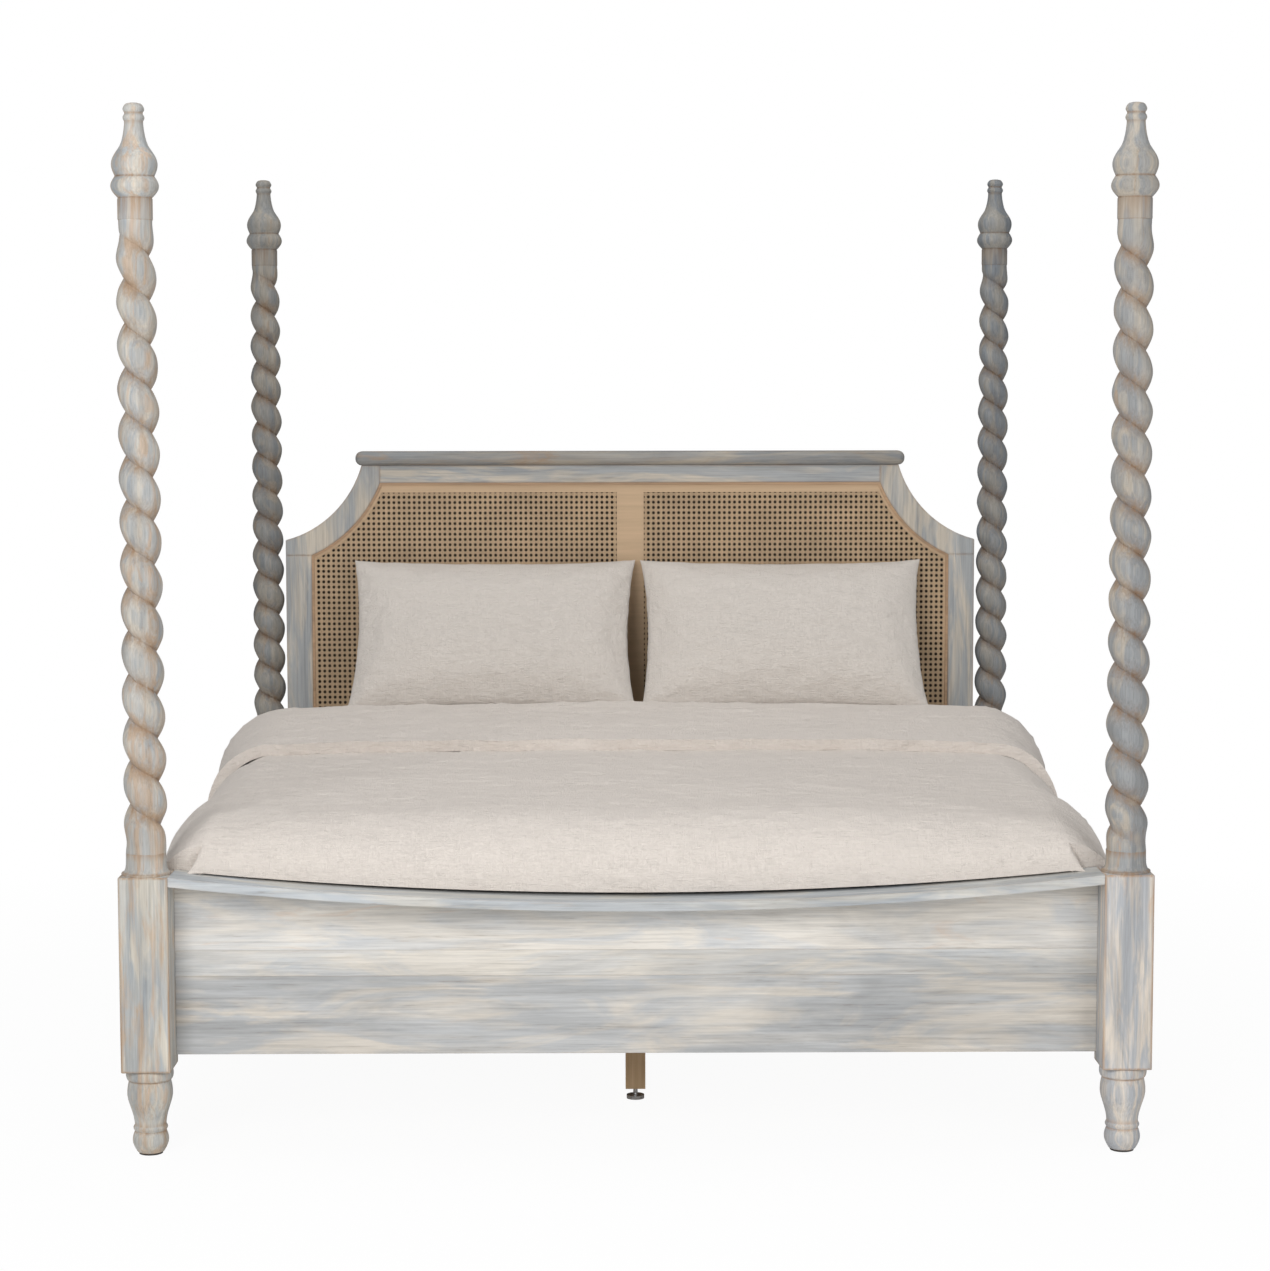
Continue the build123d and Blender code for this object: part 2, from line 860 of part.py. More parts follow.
def duvet_section(y, top, shoulder_z, out):
    """The duvet's section at y: over the mattress, outside the rails, down to its hems."""
    edge_x = mattress_width / 2 - mattress_edge_r
    edge_z = mattress_top - mattress_edge_r
    edge_r = mattress_edge_r + soft_gap
    diagonal = edge_r * math.sqrt(0.5)
    hang_x = rail_outer_x + duvet_rail_gap
    side_x = max(duvet_side_x + out, hang_x + duvet_hem_drop)
    hem_x = max(duvet_hem_x + out, hang_x + duvet_hem_drop)
    lowered = mattress_top + duvet_loft - duvet_crown - shoulder_z
    bend = (duvet_bend_x + side_x - duvet_side_x,
            max(duvet_bend_z - lowered, edge_z + diagonal + duvet_overlap * 2))
    inner_hem = (hang_x, duvet_hem_z)
    outer_hem = (hem_x, duvet_hem_z)
    hem_middle = ((hang_x + hem_x) / 2, duvet_hem_z - duvet_hem_drop)
    side = (side_x, duvet_side_z)
    shoulder = (duvet_shoulder_x, shoulder_z)
    above_rail = (hang_x, rail_top + duvet_rail_gap)
    mattress_side = (edge_x + edge_r, edge_z)
    mattress_bend = (edge_x + diagonal, edge_z + diagonal)
    mattress_flat = (edge_x, edge_z + edge_r)
    plane = Plane(origin=(0, y, 0), x_dir=(1, 0, 0), z_dir=(0, -1, 0))
    return plane * make_face([
        ThreePointArc(inner_hem, hem_middle, outer_hem),
        Line(outer_hem, side),
        ThreePointArc(side, bend, shoulder),
        ThreePointArc(shoulder, (0, top), flipped(shoulder)),
        ThreePointArc(flipped(shoulder), flipped(bend), flipped(side)),
        Line(flipped(side), flipped(outer_hem)),
        ThreePointArc(flipped(outer_hem), flipped(hem_middle), flipped(inner_hem)),
        Line(flipped(inner_hem), flipped(above_rail)),
        Line(flipped(above_rail), flipped(mattress_side)),
        ThreePointArc(flipped(mattress_side), flipped(mattress_bend), flipped(mattress_flat)),
        Line(flipped(mattress_flat), mattress_flat),
        ThreePointArc(mattress_flat, mattress_bend, mattress_side),
        Line(mattress_side, above_rail),
        Line(above_rail, inner_hem),
    ])


def hang_sway(y):
    """The gentle waves of the hanging sides along the bed."""
    return duvet_sway * math.cos(2 * math.pi * y / duvet_sway_pitch)


def duvet_main_section(y):
    tight = duvet_tight * (1 - round_over((y - duvet_foot_y()) / duvet_tight_length))
    return duvet_section(y, duvet_top(y), duvet_shoulder(y), hang_sway(y) - tight)


def duvet_fold_section(y, rise, loft_share):
    """Where the top end is turned back, so that two layers lie on each other."""
    flat = mattress_top + duvet_overlap
    top = flat + (mattress_top + duvet_loft + rise - flat) * loft_share
    out = (duvet_fold_side * rise / duvet_fold_loft + hang_sway(y)) * loft_share
    return duvet_section(y, top, top - duvet_crown * loft_share, out)


def make_duvet_body():
    start = -inner_y + duvet_rail_gap
    near_foot = [start + duvet_section_pitch * share for share in (0, 0.13, 0.4)]
    count = round((duvet_fold_y - start) / duvet_section_pitch)
    along = [start + (duvet_fold_y - start) * (i + 1) / count for i in range(count)]
    return loft([duvet_main_section(y) for y in near_foot + along], ruled=True)


def make_duvet_fold():
    edge_end = duvet_fold_y + duvet_fold_edge
    flat_end = duvet_crease_y - duvet_crease_round
    sections = [duvet_fold_section(duvet_fold_y, duvet_fold_step / 2, 1)]
    for share in (0, 0.3, 0.6, 1):
        rise = duvet_fold_step + (duvet_fold_loft - duvet_fold_step) * share
        sections.append(duvet_fold_section(edge_end + (flat_end - edge_end) * share, rise, 1))
    for share in (0.35, 0.65, 0.85, 0.96, 0.995):
        sections.append(duvet_fold_section(flat_end + duvet_crease_round * share,
                                           duvet_fold_loft, math.sqrt(1 - share ** 2)))
    return loft(sections, ruled=True)


def duvet_foot_section(y):
    """Over the footboard's cap, between the front posts, the duvet rests on the cap's curve."""
    ease = round_over((y - duvet_foot_y()) / duvet_foot_round)
    half = duvet_shoulder_x + (duvet_foot_half_x - duvet_shoulder_x) * (1 - ease)
    left, middle, right = hollow_arc(half, -soft_gap)
    edge = (half, duvet_shoulder(y))
    plane = Plane(origin=(0, y, 0), x_dir=(1, 0, 0), z_dir=(0, -1, 0))
    return plane * make_face([
        ThreePointArc(left, middle, right),
        Line(right, edge),
        ThreePointArc(edge, (0, duvet_top(y)), flipped(edge)),
        Line(flipped(edge), left),
    ])


def make_duvet_foot():
    start = duvet_foot_y()
    length = -inner_y + duvet_rail_gap - start
    return loft([duvet_foot_section(start + length * share) for share in (0.04, 0.2, 0.5, 1)],
                ruled=True)


def make_duvet():
    tuck_half_x = mattress_width / 2 - duvet_tuck_in
    tuck = box_between((-tuck_half_x, tuck_half_x),
                       (cap_back_y + soft_gap, mattress_foot_y - soft_gap),
                       (mattress_top - duvet_tuck_depth, mattress_top + duvet_overlap))
    return make_duvet_body() + make_duvet_fold() + make_duvet_foot() + tuck


# Pillows
def pillow_section(share):
    """A level slice of the cushion, from -1 at its lower edge to 1 at its upper edge."""
    half_width = pillow_width / 2 - pillow_draw_in * (1 - share ** 2)
    half_thick = (pillow_edge_thick
                  + (pillow_thick - pillow_edge_thick) * math.sqrt(1 - share ** 2)) / 2
    tip = pillow_edge_thick / 4
    return Plane(origin=(0, 0, share * pillow_height / 2)) * make_face([
        ThreePointArc((-half_width, -tip), (0, -half_thick), (half_width, -tip)),
        Line((half_width, -tip), (half_width, tip)),
        ThreePointArc((half_width, tip), (0, half_thick), (-half_width, tip)),
        Line((-half_width, tip), (-half_width, -tip)),
    ])


def make_pillow(side, duvet):
    """A pillow leaning on the headboard, let down until it rests on the duvet."""
    shares = (-1, -0.93, -0.78, -0.52, -0.2, 0.2, 0.52, 0.78, 0.93, 1)
    pillow = loft([pillow_section(s) for s in shares], ruled=True)
    dip_r = ((pillow_width / 2) ** 2 + pillow_top_dip ** 2) / (2 * pillow_top_dip)
    for up in (-1, 1):
        pillow -= Pos(0, 0, up * (pillow_height / 2 - pillow_top_dip + dip_r)) * (
            Rot(90, 0, 0) * Cylinder(dip_r, pillow_thick))
    pillow = Rot(-pillow_lean, 0, 0) * pillow
    box = pillow.bounding_box()
    pillow = Pos(side * (pillow_width / 2 + pillow_gap) + pillow_shift,
                 cane_y - centre_strip_thick - soft_gap - box.max.Y,
                 mattress_top + duvet_loft + duvet_fold_loft - box.min.Z) * pillow
    for _ in range(4):
        pillow = Pos(0, 0, soft_gap - pillow.distance_to(duvet)) * pillow
    return pillow


def build_all():
    for corner, (side, end) in corners.items():
        place = Pos(side * post_x, end * post_y, 0)
        save(f"leg_{corner}", make_leg(side, end))
        save(f"twisted_post_{corner}", place * make_twisted_post(corner))
        save(f"finial_{corner}", place * make_finial())
    for name, make in (("foot_glides", make_glide), ("post_studs", make_post_stud),
                       ("finial_pins", make_pin)):
        save(name, group(Pos(side * post_x, end * post_y, 0) * make()
                         for side, end in corners.values()))

    duvet = make_duvet()
    save("duvet", duvet)
    save("mattress", make_mattress())

    grooves = panel_grooves()
    for name, side in sides.items():
        save(f"headboard_stile_{name}", make_stile(side, grooves))
        save(f"headboard_bracket_{name}", make_bracket(side, grooves))
        save(f"cane_sheet_{name}", make_cane(side))
        save(f"side_rail_{name}", make_side_rail(side))
        save(f"ledger_{name}", make_ledger(side))
        save(f"pillow_{name}", make_pillow(side, duvet))
    save("headboard_top_rail", headboard_rail(bracket_high_x(), opening_top, top_rail_top) - grooves)
    save("headboard_lower_rail", headboard_rail(
        opening_half_x, opening_bottom - lower_rail_height, opening_bottom) - grooves)
    save("headboard_bottom_rail", headboard_rail(
        opening_half_x, rail_bottom, rail_bottom + bottom_rail_height))
    save("headboard_cap_bar", make_cap_bar())
    save("headboard_back_panel", make_back_panel())
    save("cane_bead", make_bead())
    save("cane_centre_strip", make_centre_strip())
    save("headboard_bolts", at_each_bolt(headboard_bolt))
    save("headboard_inserts", at_each_bolt(bolt_insert))

    save("footboard_board_bottom", straight_board(rail_bottom, board_joint_low))
    save("footboard_board_middle", straight_board(board_joint_low, board_joint_high))
    save("footboard_board_top", make_top_board())
    save("footboard_cap", make_footboard_cap())
    save("footboard_dowels", make_board_dowels())
    save("footboard_tenons", group(on_side(tenon(height, 0), side)
                                   for side in sides.values() for height in tenon_heights))

    save("slats", make_slats())
    save("ledger_screws", group(on_side(screw_line(y, 0), side)
                                for side in sides.values() for y in screw_places()))
    save("rail_hook_plates", in_each_corner(make_hook_plate()))
    save("post_slot_plates", in_each_corner(make_slot_plate()))
    save("centre_beam", make_beam())
    save("beam_hangers", group(make_hanger(end) for end in (-1, 1)))
    save("centre_leg_studs", at_each_centre_leg(leg_stud()))
    save("leveller_inserts", at_each_centre_leg(leveller_insert()))
    for name, y in zip(("foot", "middle", "head"), centre_leg_places):
        save(f"centre_leg_{name}", make_centre_leg(y))
        save(f"leveller_{name}", make_leveller(y))



build_all()
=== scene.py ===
"""Dresses a king-size four-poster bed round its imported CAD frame.

Posts, finials, legs, headboard, footboard and bedding are modelled in metres in the CAD's own
frame: +Z up, +Y from foot to head, origin on the floor under the middle of the bed.
"""
import json
import math

import bmesh
import bpy
from mathutils import Matrix, Vector, noise


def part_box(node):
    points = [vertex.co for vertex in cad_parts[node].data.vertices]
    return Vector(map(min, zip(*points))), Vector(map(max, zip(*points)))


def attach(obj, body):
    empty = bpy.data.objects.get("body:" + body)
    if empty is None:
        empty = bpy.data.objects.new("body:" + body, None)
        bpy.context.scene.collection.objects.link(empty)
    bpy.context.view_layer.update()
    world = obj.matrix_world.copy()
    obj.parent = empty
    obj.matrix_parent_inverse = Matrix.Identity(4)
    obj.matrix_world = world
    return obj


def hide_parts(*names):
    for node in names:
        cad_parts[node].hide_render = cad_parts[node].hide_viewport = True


bl_info = {
    "name": "Four-poster bed",
    "version": (1, 0, 0),
    "blender": (4, 5, 0),
    "location": "View3D > Sidebar > Bed",
    "description": "Builds the looks of a four-poster bed with twisted posts and a cane headboard",
    "category": "Object",
}

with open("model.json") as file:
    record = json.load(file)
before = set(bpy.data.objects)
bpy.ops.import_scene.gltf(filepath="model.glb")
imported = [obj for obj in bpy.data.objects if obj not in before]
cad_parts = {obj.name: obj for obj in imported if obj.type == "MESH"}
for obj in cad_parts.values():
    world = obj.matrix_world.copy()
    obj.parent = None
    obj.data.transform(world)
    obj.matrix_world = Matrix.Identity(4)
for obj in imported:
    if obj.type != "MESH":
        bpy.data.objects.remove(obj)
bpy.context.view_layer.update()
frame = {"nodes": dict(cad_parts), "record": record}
CORNERS = ("front_left", "front_right", "back_left", "back_right")
SIDES = {"left": -1, "right": 1}
ROOT = "frame"


# Properties
def length(name, text, value):
    return bpy.props.FloatProperty(name=name, description=text, default=value,
                                   unit="LENGTH", subtype="DISTANCE")


def colour(name, text, value):
    return bpy.props.FloatVectorProperty(name=name, description=text, default=value,
                                         size=3, subtype="COLOR", min=0, max=1)


class WoodSettings(bpy.types.PropertyGroup):
    """Colours and edges of the weathered wood."""
    cream: colour("Cream", "Lightest patches of the whitewash", (0.745, 0.68, 0.58))
    wash: colour("Wash", "Ordinary tone of the whitewash", (0.61, 0.597, 0.565))
    blue: colour("Blue grey", "Cool patches of the whitewash", (0.455, 0.485, 0.51))
    tan: colour("Tan", "Bare wood that shows through", (0.68, 0.48, 0.32))
    brown: colour("Brown", "Rubbed edges and pores", (0.20, 0.105, 0.05))
    edge_round: length("Edge round", "Rounding of sawn edges", 0.0022)
    edge_rub: length("Rubbed width", "How far in from an edge the finish is rubbed", 0.006)


class PostSettings(bpy.types.PropertyGroup):
    """The carved twist of the posts."""
    groove: length("Groove", "How far the groove cuts in below the strand", 0.0175)
    carving: length("Carving", "Unevenness of the hand carving", 0.0015)
    facets: bpy.props.IntProperty(name="Facets", description="Points round a post",
                                  default=64, min=24, max=128)


class CaneSettings(bpy.types.PropertyGroup):
    """The open weave of the headboard."""
    pitch_x: length("Pitch across", "From one pair of upright strands to the next", 0.0144)
    pitch_z: length("Pitch up", "From one pair of level strands to the next", 0.0150)
    strand: length("Strand", "Width of one strand", 0.0025)
    tone: colour("Cane", "Colour of the cane", (0.538, 0.380, 0.228))


class LinenSettings(bpy.types.PropertyGroup):
    """The washed linen of the duvet and pillows."""
    tone: colour("Linen", "Colour of the linen", (0.804, 0.737, 0.677))
    crumple: length("Crumple", "Height of the soft creases", 0.0046)


class StageSettings(bpy.types.PropertyGroup):
    """Camera and light."""
    lens: bpy.props.FloatProperty(name="Lens", description="Focal length for a 36 mm wide sensor",
                                  default=78.86, unit="CAMERA")
    camera_place: bpy.props.FloatVectorProperty(
        name="Camera", description="Where the camera stands", default=(-0.046, -6.850, 1.6106),
        subtype="TRANSLATION", unit="LENGTH")
    camera_turn: bpy.props.FloatVectorProperty(
        name="Camera turn", description="Turn to the side, tilt down and roll",
        default=(-0.00747, 0.08835, -0.0015), subtype="EULER", unit="ROTATION")
    floor: colour("Floor", "Colour of the floor", (0.92, 0.92, 0.92))


GROUPS = {"wood": WoodSettings, "posts": PostSettings, "cane": CaneSettings,
          "linen": LinenSettings, "stage": StageSettings}


def settings(context, name):
    return getattr(context.scene, "bed_" + name)


# Shader building blocks
def feed(tree, node, inputs):
    """Set or wire a node's inputs by name or number."""
    for key, value in inputs.items():
        if isinstance(value, bpy.types.NodeSocket):
            tree.links.new(value, node.inputs[key])
        else:
            node.inputs[key].default_value = value


def add_node(tree, kind, inputs=None, **attributes):
    """Add a node, set its attributes, and set or wire its inputs."""
    made = tree.nodes.new(kind)
    for key, value in attributes.items():
        setattr(made, key, value)
    feed(tree, made, inputs or {})
    return made


def ramp(tree, value, stops):
    """A grey ramp between two stops, each a place and a level."""
    made = add_node(tree, "ShaderNodeValToRGB", {"Fac": value})
    for element, (place, level) in zip(made.color_ramp.elements, stops):
        element.position = place
        element.color = (level, level, level, 1)
    return made.outputs["Color"]


def math_node(tree, operation, first, second):
    return add_node(tree, "ShaderNodeMath", {0: first, 1: second}, operation=operation).outputs[0]


def weighed(tree, *terms):
    """The sum of values, each multiplied by its weight."""
    total, *others = [math_node(tree, "MULTIPLY", *term) for term in terms]
    for part in others:
        total = math_node(tree, "ADD", total, part)
    return total


def shifted(tree, value, setting):
    """A value moved up by what a setting has over one half."""
    return math_node(tree, "ADD", value, math_node(tree, "SUBTRACT", setting, 0.5))


def mix_colour(tree, amount, first, second, blend="MIX"):
    """Two colours mixed by an amount; a plain colour may come without its alpha."""
    first, second = [value if isinstance(value, bpy.types.NodeSocket) else (*value, 1)[:4]
                     for value in (first, second)]
    return add_node(tree, "ShaderNodeMix", {0: amount, 6: first, 7: second}, data_type="RGBA",
                    blend_type=blend, clamp_result=True).outputs[2]


def mapped(tree, vector, scale, place=(0, 0, 0), turn=(0, 0, 0)):
    return add_node(tree, "ShaderNodeMapping", {
        "Vector": vector, "Scale": scale, "Location": place, "Rotation": turn}).outputs[0]


def noise_at(tree, vector, scale, detail, rough, bend=0.0):
    return add_node(tree, "ShaderNodeTexNoise", {
        "Vector": vector, "Scale": scale, "Detail": detail, "Roughness": rough,
        "Distortion": bend}).outputs["Fac"]


def stretched(tree, vector, scale, detail, rough, bend=0.0, place=(0, 0, 0)):
    """Noise with its own scale along each axis."""
    return noise_at(tree, mapped(tree, vector, scale, place), 1.0, detail, rough, bend)


def new_group(name, inputs, outputs):
    """A shader node group with sockets listed by kind, its given values and its output node."""
    group = bpy.data.node_groups.new(name, "ShaderNodeTree")
    for way, kinds in (("INPUT", inputs), ("OUTPUT", outputs)):
        for kind, labels in kinds.items():
            for label in labels:
                group.interface.new_socket(label, in_out=way, socket_type="NodeSocket" + kind)
    return group, add_node(group, "NodeGroupInput").outputs, add_node(group, "NodeGroupOutput")


def weathered_group():
    """Whitewash over wood whose grain runs along Z: patches, streaks, pores, and brown where the
    wear attribute is high, which is rubbed edges and painted shade in the posts' grooves.
    """
    tree, given, out = new_group(
        "Weathered wood",
        {"Vector": ["Vector"], "Float": ["Wear_and_groove_shade", "Bareness", "Coolness"],
         "Color": ["Cream", "Wash", "Blue", "Tan", "Brown"]},
        {"Color": ["Color"], "Float": ["Roughness", "Height"]})
    broad, second, third, streak, fine, brush, stain = [
        stretched(tree, given["Vector"], *terms) for terms in (
            ((7.5, 7.5, 1.7), 5.0, 0.62, 0.9),
            ((11, 11, 2.4), 4.0, 0.6, 1.4, (3.1, 7.7, 1.3)),
            ((16, 16, 3.6), 5.0, 0.65, 1.1, (9.2, 2.4, 5.1)),
            ((150, 150, 5), 4.0, 0.7),
            ((420, 420, 30), 2.0, 0.6),
            ((46, 46, 3.2), 5.0, 0.7, 0.6, (1.7, 4.4, 0.6)),
            ((9, 9, 1.6), 5.0, 0.62, 0.7, (6.2, 0.9, 3.3)))]
    base = mix_colour(tree, ramp(tree, shifted(tree, broad, given["Coolness"]),
                                 [(0.42, 0.0), (0.58, 1.0)]), given["Wash"], given["Blue"])
    base = mix_colour(tree, ramp(tree, second, [(0.47, 0.0), (0.61, 0.95)]), base, given["Cream"])
    base = mix_colour(tree, ramp(tree, shifted(tree, third, given["Bareness"]),
                                 [(0.41, 0.0), (0.54, 0.75)]), base, given["Tan"])
    base = mix_colour(tree, ramp(tree, brush, [(0.40, 0.0), (0.72, 0.30)]), base, given["Wash"])
    shade = math_node(tree, "MULTIPLY", ramp(tree, streak, [(0.30, 0.80), (0.62, 1.06)]),
                      ramp(tree, stain, [(0.34, 0.78), (0.60, 1.06)]))
    base = mix_colour(tree, 1.0, base, shade, "MULTIPLY")
    pore = ramp(tree, math_node(tree, "MULTIPLY", streak, fine), [(0.08, 0.30), (0.17, 0.0)])
    base = mix_colour(tree, pore, base, given["Brown"])
    # Brown where the wear attribute is high: real rubbing on edges and rings, and painted shade in
    # the posts' grooves.
    rubbed_and_shaded = math_node(tree, "MULTIPLY", given["Wear_and_groove_shade"], ramp(
        tree, weighed(tree, (brush, 1), (third, 0.5)), [(0.55, 0.15), (0.90, 0.95)]))
    base = mix_colour(tree, rubbed_and_shaded, base, mix_colour(tree, broad, given["Tan"], given["Brown"]))
    feed(tree, out, {"Color": base,
                     "Roughness": ramp(tree, brush, [(0.3, 0.50), (0.7, 0.68)]),
                     "Height": weighed(tree, (streak, 0.6), (brush, 0.5))})
    return tree


def weave_group():
    """Slubby plain weave on a surface's own coordinates: tone and height of the threads."""
    tree, given, out = new_group("Linen weave", {"Vector": ["Vector"]},
                                 {"Float": ["Tone", "Height"]})
    place = given["Vector"]
    warp = stretched(tree, place, (650, 24, 24), 2.0, 0.6)
    weft = stretched(tree, place, (24, 650, 650), 2.0, 0.6)
    slub = stretched(tree, place, (30, 210, 210), 3.0, 0.65, place=(5, 3, 1))
    cloud = noise_at(tree, place, 5.0, 4.0, 0.6)
    threads = math_node(tree, "ADD", warp, weft)
    feed(tree, out, {"Tone": weighed(tree, (threads, 0.35), (slub, 0.40), (cloud, 0.25)),
                     "Height": math_node(tree, "ADD", threads, slub)})
    return tree


def group_node(tree, name, make, inputs):
    """A node for a shared group, which is made the first time it is asked for."""
    shared = bpy.data.node_groups.get(name) or make()
    return add_node(tree, "ShaderNodeGroup", inputs, node_tree=shared)


def new_material(name):
    """A material with its tree, its Principled shader and the object's own coordinates."""
    made = bpy.data.materials.new(name)
    made.use_nodes = True
    tree = made.node_tree
    tree.nodes.clear()
    shader = add_node(tree, "ShaderNodeBsdfPrincipled")
    add_node(tree, "ShaderNodeOutputMaterial", {"Surface": shader.outputs[0]})
    return made, tree, shader, add_node(tree, "ShaderNodeTexCoord").outputs["Object"]


def bump(tree, shader, height, strength, distance):
    made = add_node(tree, "ShaderNodeBump", {"Height": height, "Strength": strength,
                                             "Distance": distance})
    feed(tree, shader, {"Normal": made.outputs[0]})


def tinted(value, tint):
    return (*[min(1, a * b) for a, b in zip(value, tint)], 1)


GRAIN_TURN = {"up": (0, 0, 0), "across": (0, math.pi / 2, 0), "along": (math.pi / 2, 0, 0)}
GRAIN_WAY = {"across": 0, "along": 1, "up": 2}


def weathered_wood(context, name, grain, tint, bare, cool, place=(0, 0, 0), fine=1.0, even=0.0):
    """The bed's own finish, with the grain running up, across or along the bed."""
    wood = settings(context, "wood")
    made, tree, shader, spot = new_material(name)
    wear_and_groove_shade = add_node(tree, "ShaderNodeAttribute", attribute_name="wear_and_groove_shade").outputs["Fac"]
    scale = [fine * (0.6 if way == GRAIN_WAY[grain] and fine > 1 else 1) for way in range(3)]
    group = group_node(tree, "Weathered wood", weathered_group, {
        "Vector": mapped(tree, spot, scale, place, GRAIN_TURN[grain]), "Wear_and_groove_shade": wear_and_groove_shade,
        "Bareness": bare, "Coolness": cool})
    for key in ("cream", "wash", "blue", "tan", "brown"):
        tone = Vector(getattr(wood, key))
        if key != "brown":
            tone = tone.lerp(Vector(wood.wash), even)
        feed(tree, group, {key.capitalize(): tinted(tone, tint)})
    feed(tree, shader, {"Base Color": group.outputs["Color"],
                        "Roughness": group.outputs["Roughness"], "Specular IOR Level": 0.35})
    bump(tree, shader, group.outputs["Height"], 0.35, 0.0012)
    return made


def grained(name, grain, light, dark, rough=0.6):
    """Plain unpainted wood: streaks of two tones along the grain."""
    made, tree, shader, spot = new_material(name)
    turned = mapped(tree, spot, (1, 1, 1), turn=GRAIN_TURN[grain])
    rings = stretched(tree, turned, (60, 60, 2.5), 4.0, 0.6, 0.8)
    fibre = stretched(tree, turned, (380, 380, 12), 3.0, 0.7)
    amount = ramp(tree, weighed(tree, (rings, 0.7), (fibre, 0.3)), [(0.3, 0.0), (0.7, 1.0)])
    feed(tree, shader, {"Base Color": mix_colour(tree, amount, light, dark), "Roughness": rough})
    bump(tree, shader, fibre, 0.25, 0.0006)
    return made


def metal(name, tone, rough):
    """Plated or plain metal with faint brushing."""
    made, tree, shader, spot = new_material(name)
    brushed = stretched(tree, spot, (900, 900, 60), 2.0, 0.6)
    feed(tree, shader, {
        "Base Color": mix_colour(tree, ramp(tree, brushed, [(0.3, 0.0), (0.7, 1.0)]),
                                 [c * 0.86 for c in tone], tone),
        "Roughness": ramp(tree, brushed, [(0.2, rough - 0.06), (0.8, rough + 0.06)]),
        "Metallic": 1.0})
    return made


def moulded(name, tone):
    """Matt plastic with a fine mould grain."""
    made, tree, shader, spot = new_material(name)
    grain = noise_at(tree, spot, 900.0, 2.0, 0.5)
    feed(tree, shader, {"Base Color": mix_colour(tree, grain, [c * 0.9 for c in tone],
                                                 [c * 1.1 for c in tone]), "Roughness": 0.55})
    bump(tree, shader, grain, 0.2, 0.0003)
    return made


def linen(context, name, tint=(1, 1, 1)):
    """Washed linen: slubby threads, soft creases and a little sheen."""
    made, tree, shader, spot = new_material(name)
    weave = group_node(tree, "Linen weave", weave_group, {"Vector": spot})
    shade = ramp(tree, weave.outputs["Tone"], [(0.30, 0.87), (0.68, 1.06)])
    tone = tinted(settings(context, "linen").tone, tint)
    feed(tree, shader, {
        "Base Color": mix_colour(tree, 1.0, tone, shade, "MULTIPLY"), "Roughness": 0.88,
        "Sheen Weight": 0.18, "Sheen Roughness": 0.5, "Specular IOR Level": 0.2})
    crease = stretched(tree, spot, (16, 34, 34), 5.0, 0.66, 0.5)
    bump(tree, shader, weighed(tree, (weave.outputs["Height"], 0.25), (crease, 1)), 0.9, 0.011)
    return made


# Mesh building blocks
SHARP, SMOOTH_UNDER = 0.5, math.radians(52)


def mesh_from(bm, name):
    mesh = bpy.data.meshes.new(name)
    bm.to_mesh(mesh)
    bm.free()
    return mesh


def add_object(name, data):
    made = bpy.data.objects.new(name, data)
    bpy.context.scene.collection.objects.link(made)
    return made


def finish_mesh(name, bm, body, material, node=None):
    """Turn a bmesh into a piece that rides on a body and may stand for a CAD node."""
    bmesh.ops.remove_doubles(bm, verts=bm.verts, dist=1e-6)
    bmesh.ops.recalc_face_normals(bm, faces=bm.faces)
    mesh = mesh_from(bm, name)
    mesh.materials.append(material)
    mesh.polygons.foreach_set("use_smooth", [True] * len(mesh.polygons))
    mesh.set_sharp_from_angle(angle=SMOOTH_UNDER)
    piece = add_object(name, mesh)
    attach(piece, body)
    if node:
        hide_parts(node)
    return piece


def refinish(node, material):
    """Give a CAD node that stays in sight its material."""
    slots = frame["nodes"][node].data.materials
    slots.clear()
    slots.append(material)


def sharp_edges(bm):
    return [e for e in bm.edges if len(e.link_faces) == 2 and e.calc_face_angle(0) > SHARP]


def smooth_regions(bm):
    """Groups of faces that meet each other at no sharp angle."""
    left, regions = set(bm.faces), []
    while left:
        seed = left.pop()
        region, border = [seed], [seed]
        while border:
            for edge in border.pop().edges:
                if len(edge.link_faces) == 2 and edge.calc_face_angle(0) <= SHARP:
                    for face in edge.link_faces:
                        if face in left:
                            left.discard(face)
                            region.append(face)
                            border.append(face)
        regions.append(region)
    return regions


def wear_and_shade_layer(bm):
    return bm.verts.layers.float.get("wear_and_groove_shade") or bm.verts.layers.float.new("wear_and_groove_shade")


def round_edges(bm, edges, offset, segments):
    bmesh.ops.bevel(bm, geom=edges, offset=offset, offset_type="OFFSET", segments=segments,
                    profile=0.5, affect="EDGES", material=-1)


def soften(bm, rub, round_off, rubbed_and_shaded=1.0):
    """Round the sawn edges and mark how near each point is to one, for the rubbed finish."""
    wear_and_groove_shade = wear_and_shade_layer(bm)
    for region in smooth_regions(bm):
        bmesh.ops.inset_region(bm, faces=region, thickness=rub, use_boundary=True,
                               use_even_offset=True)
    edges = sharp_edges(bm)
    calm = set(bm.verts) - {vert for edge in edges for vert in edge.verts}
    round_edges(bm, edges, round_off, 2)
    for vert in bm.verts:
        vert[wear_and_groove_shade] = 0.0 if vert in calm else rubbed_and_shaded


def add_box(bm, low, high):
    """A box between two corners."""
    size = [b - a for a, b in zip(low, high)]
    middle = [(a + b) / 2 for a, b in zip(low, high)]
    bmesh.ops.create_cube(bm, size=1,
                          matrix=Matrix.Translation(middle) @ Matrix.Diagonal((*size, 1)))


def add_slab(bm, outline, y_front, thick):
    """A flat piece across the bed, cut to an outline of x and height."""
    face = bm.faces.new([bm.verts.new((x, y_front, z)) for x, z in outline])
    moved = bmesh.ops.extrude_face_region(bm, geom=[face])["geom"]
    bmesh.ops.translate(bm, vec=(0, thick, 0),
                        verts=[v for v in moved if isinstance(v, bmesh.types.BMVert)])
    bmesh.ops.recalc_face_normals(bm, faces=bm.faces)


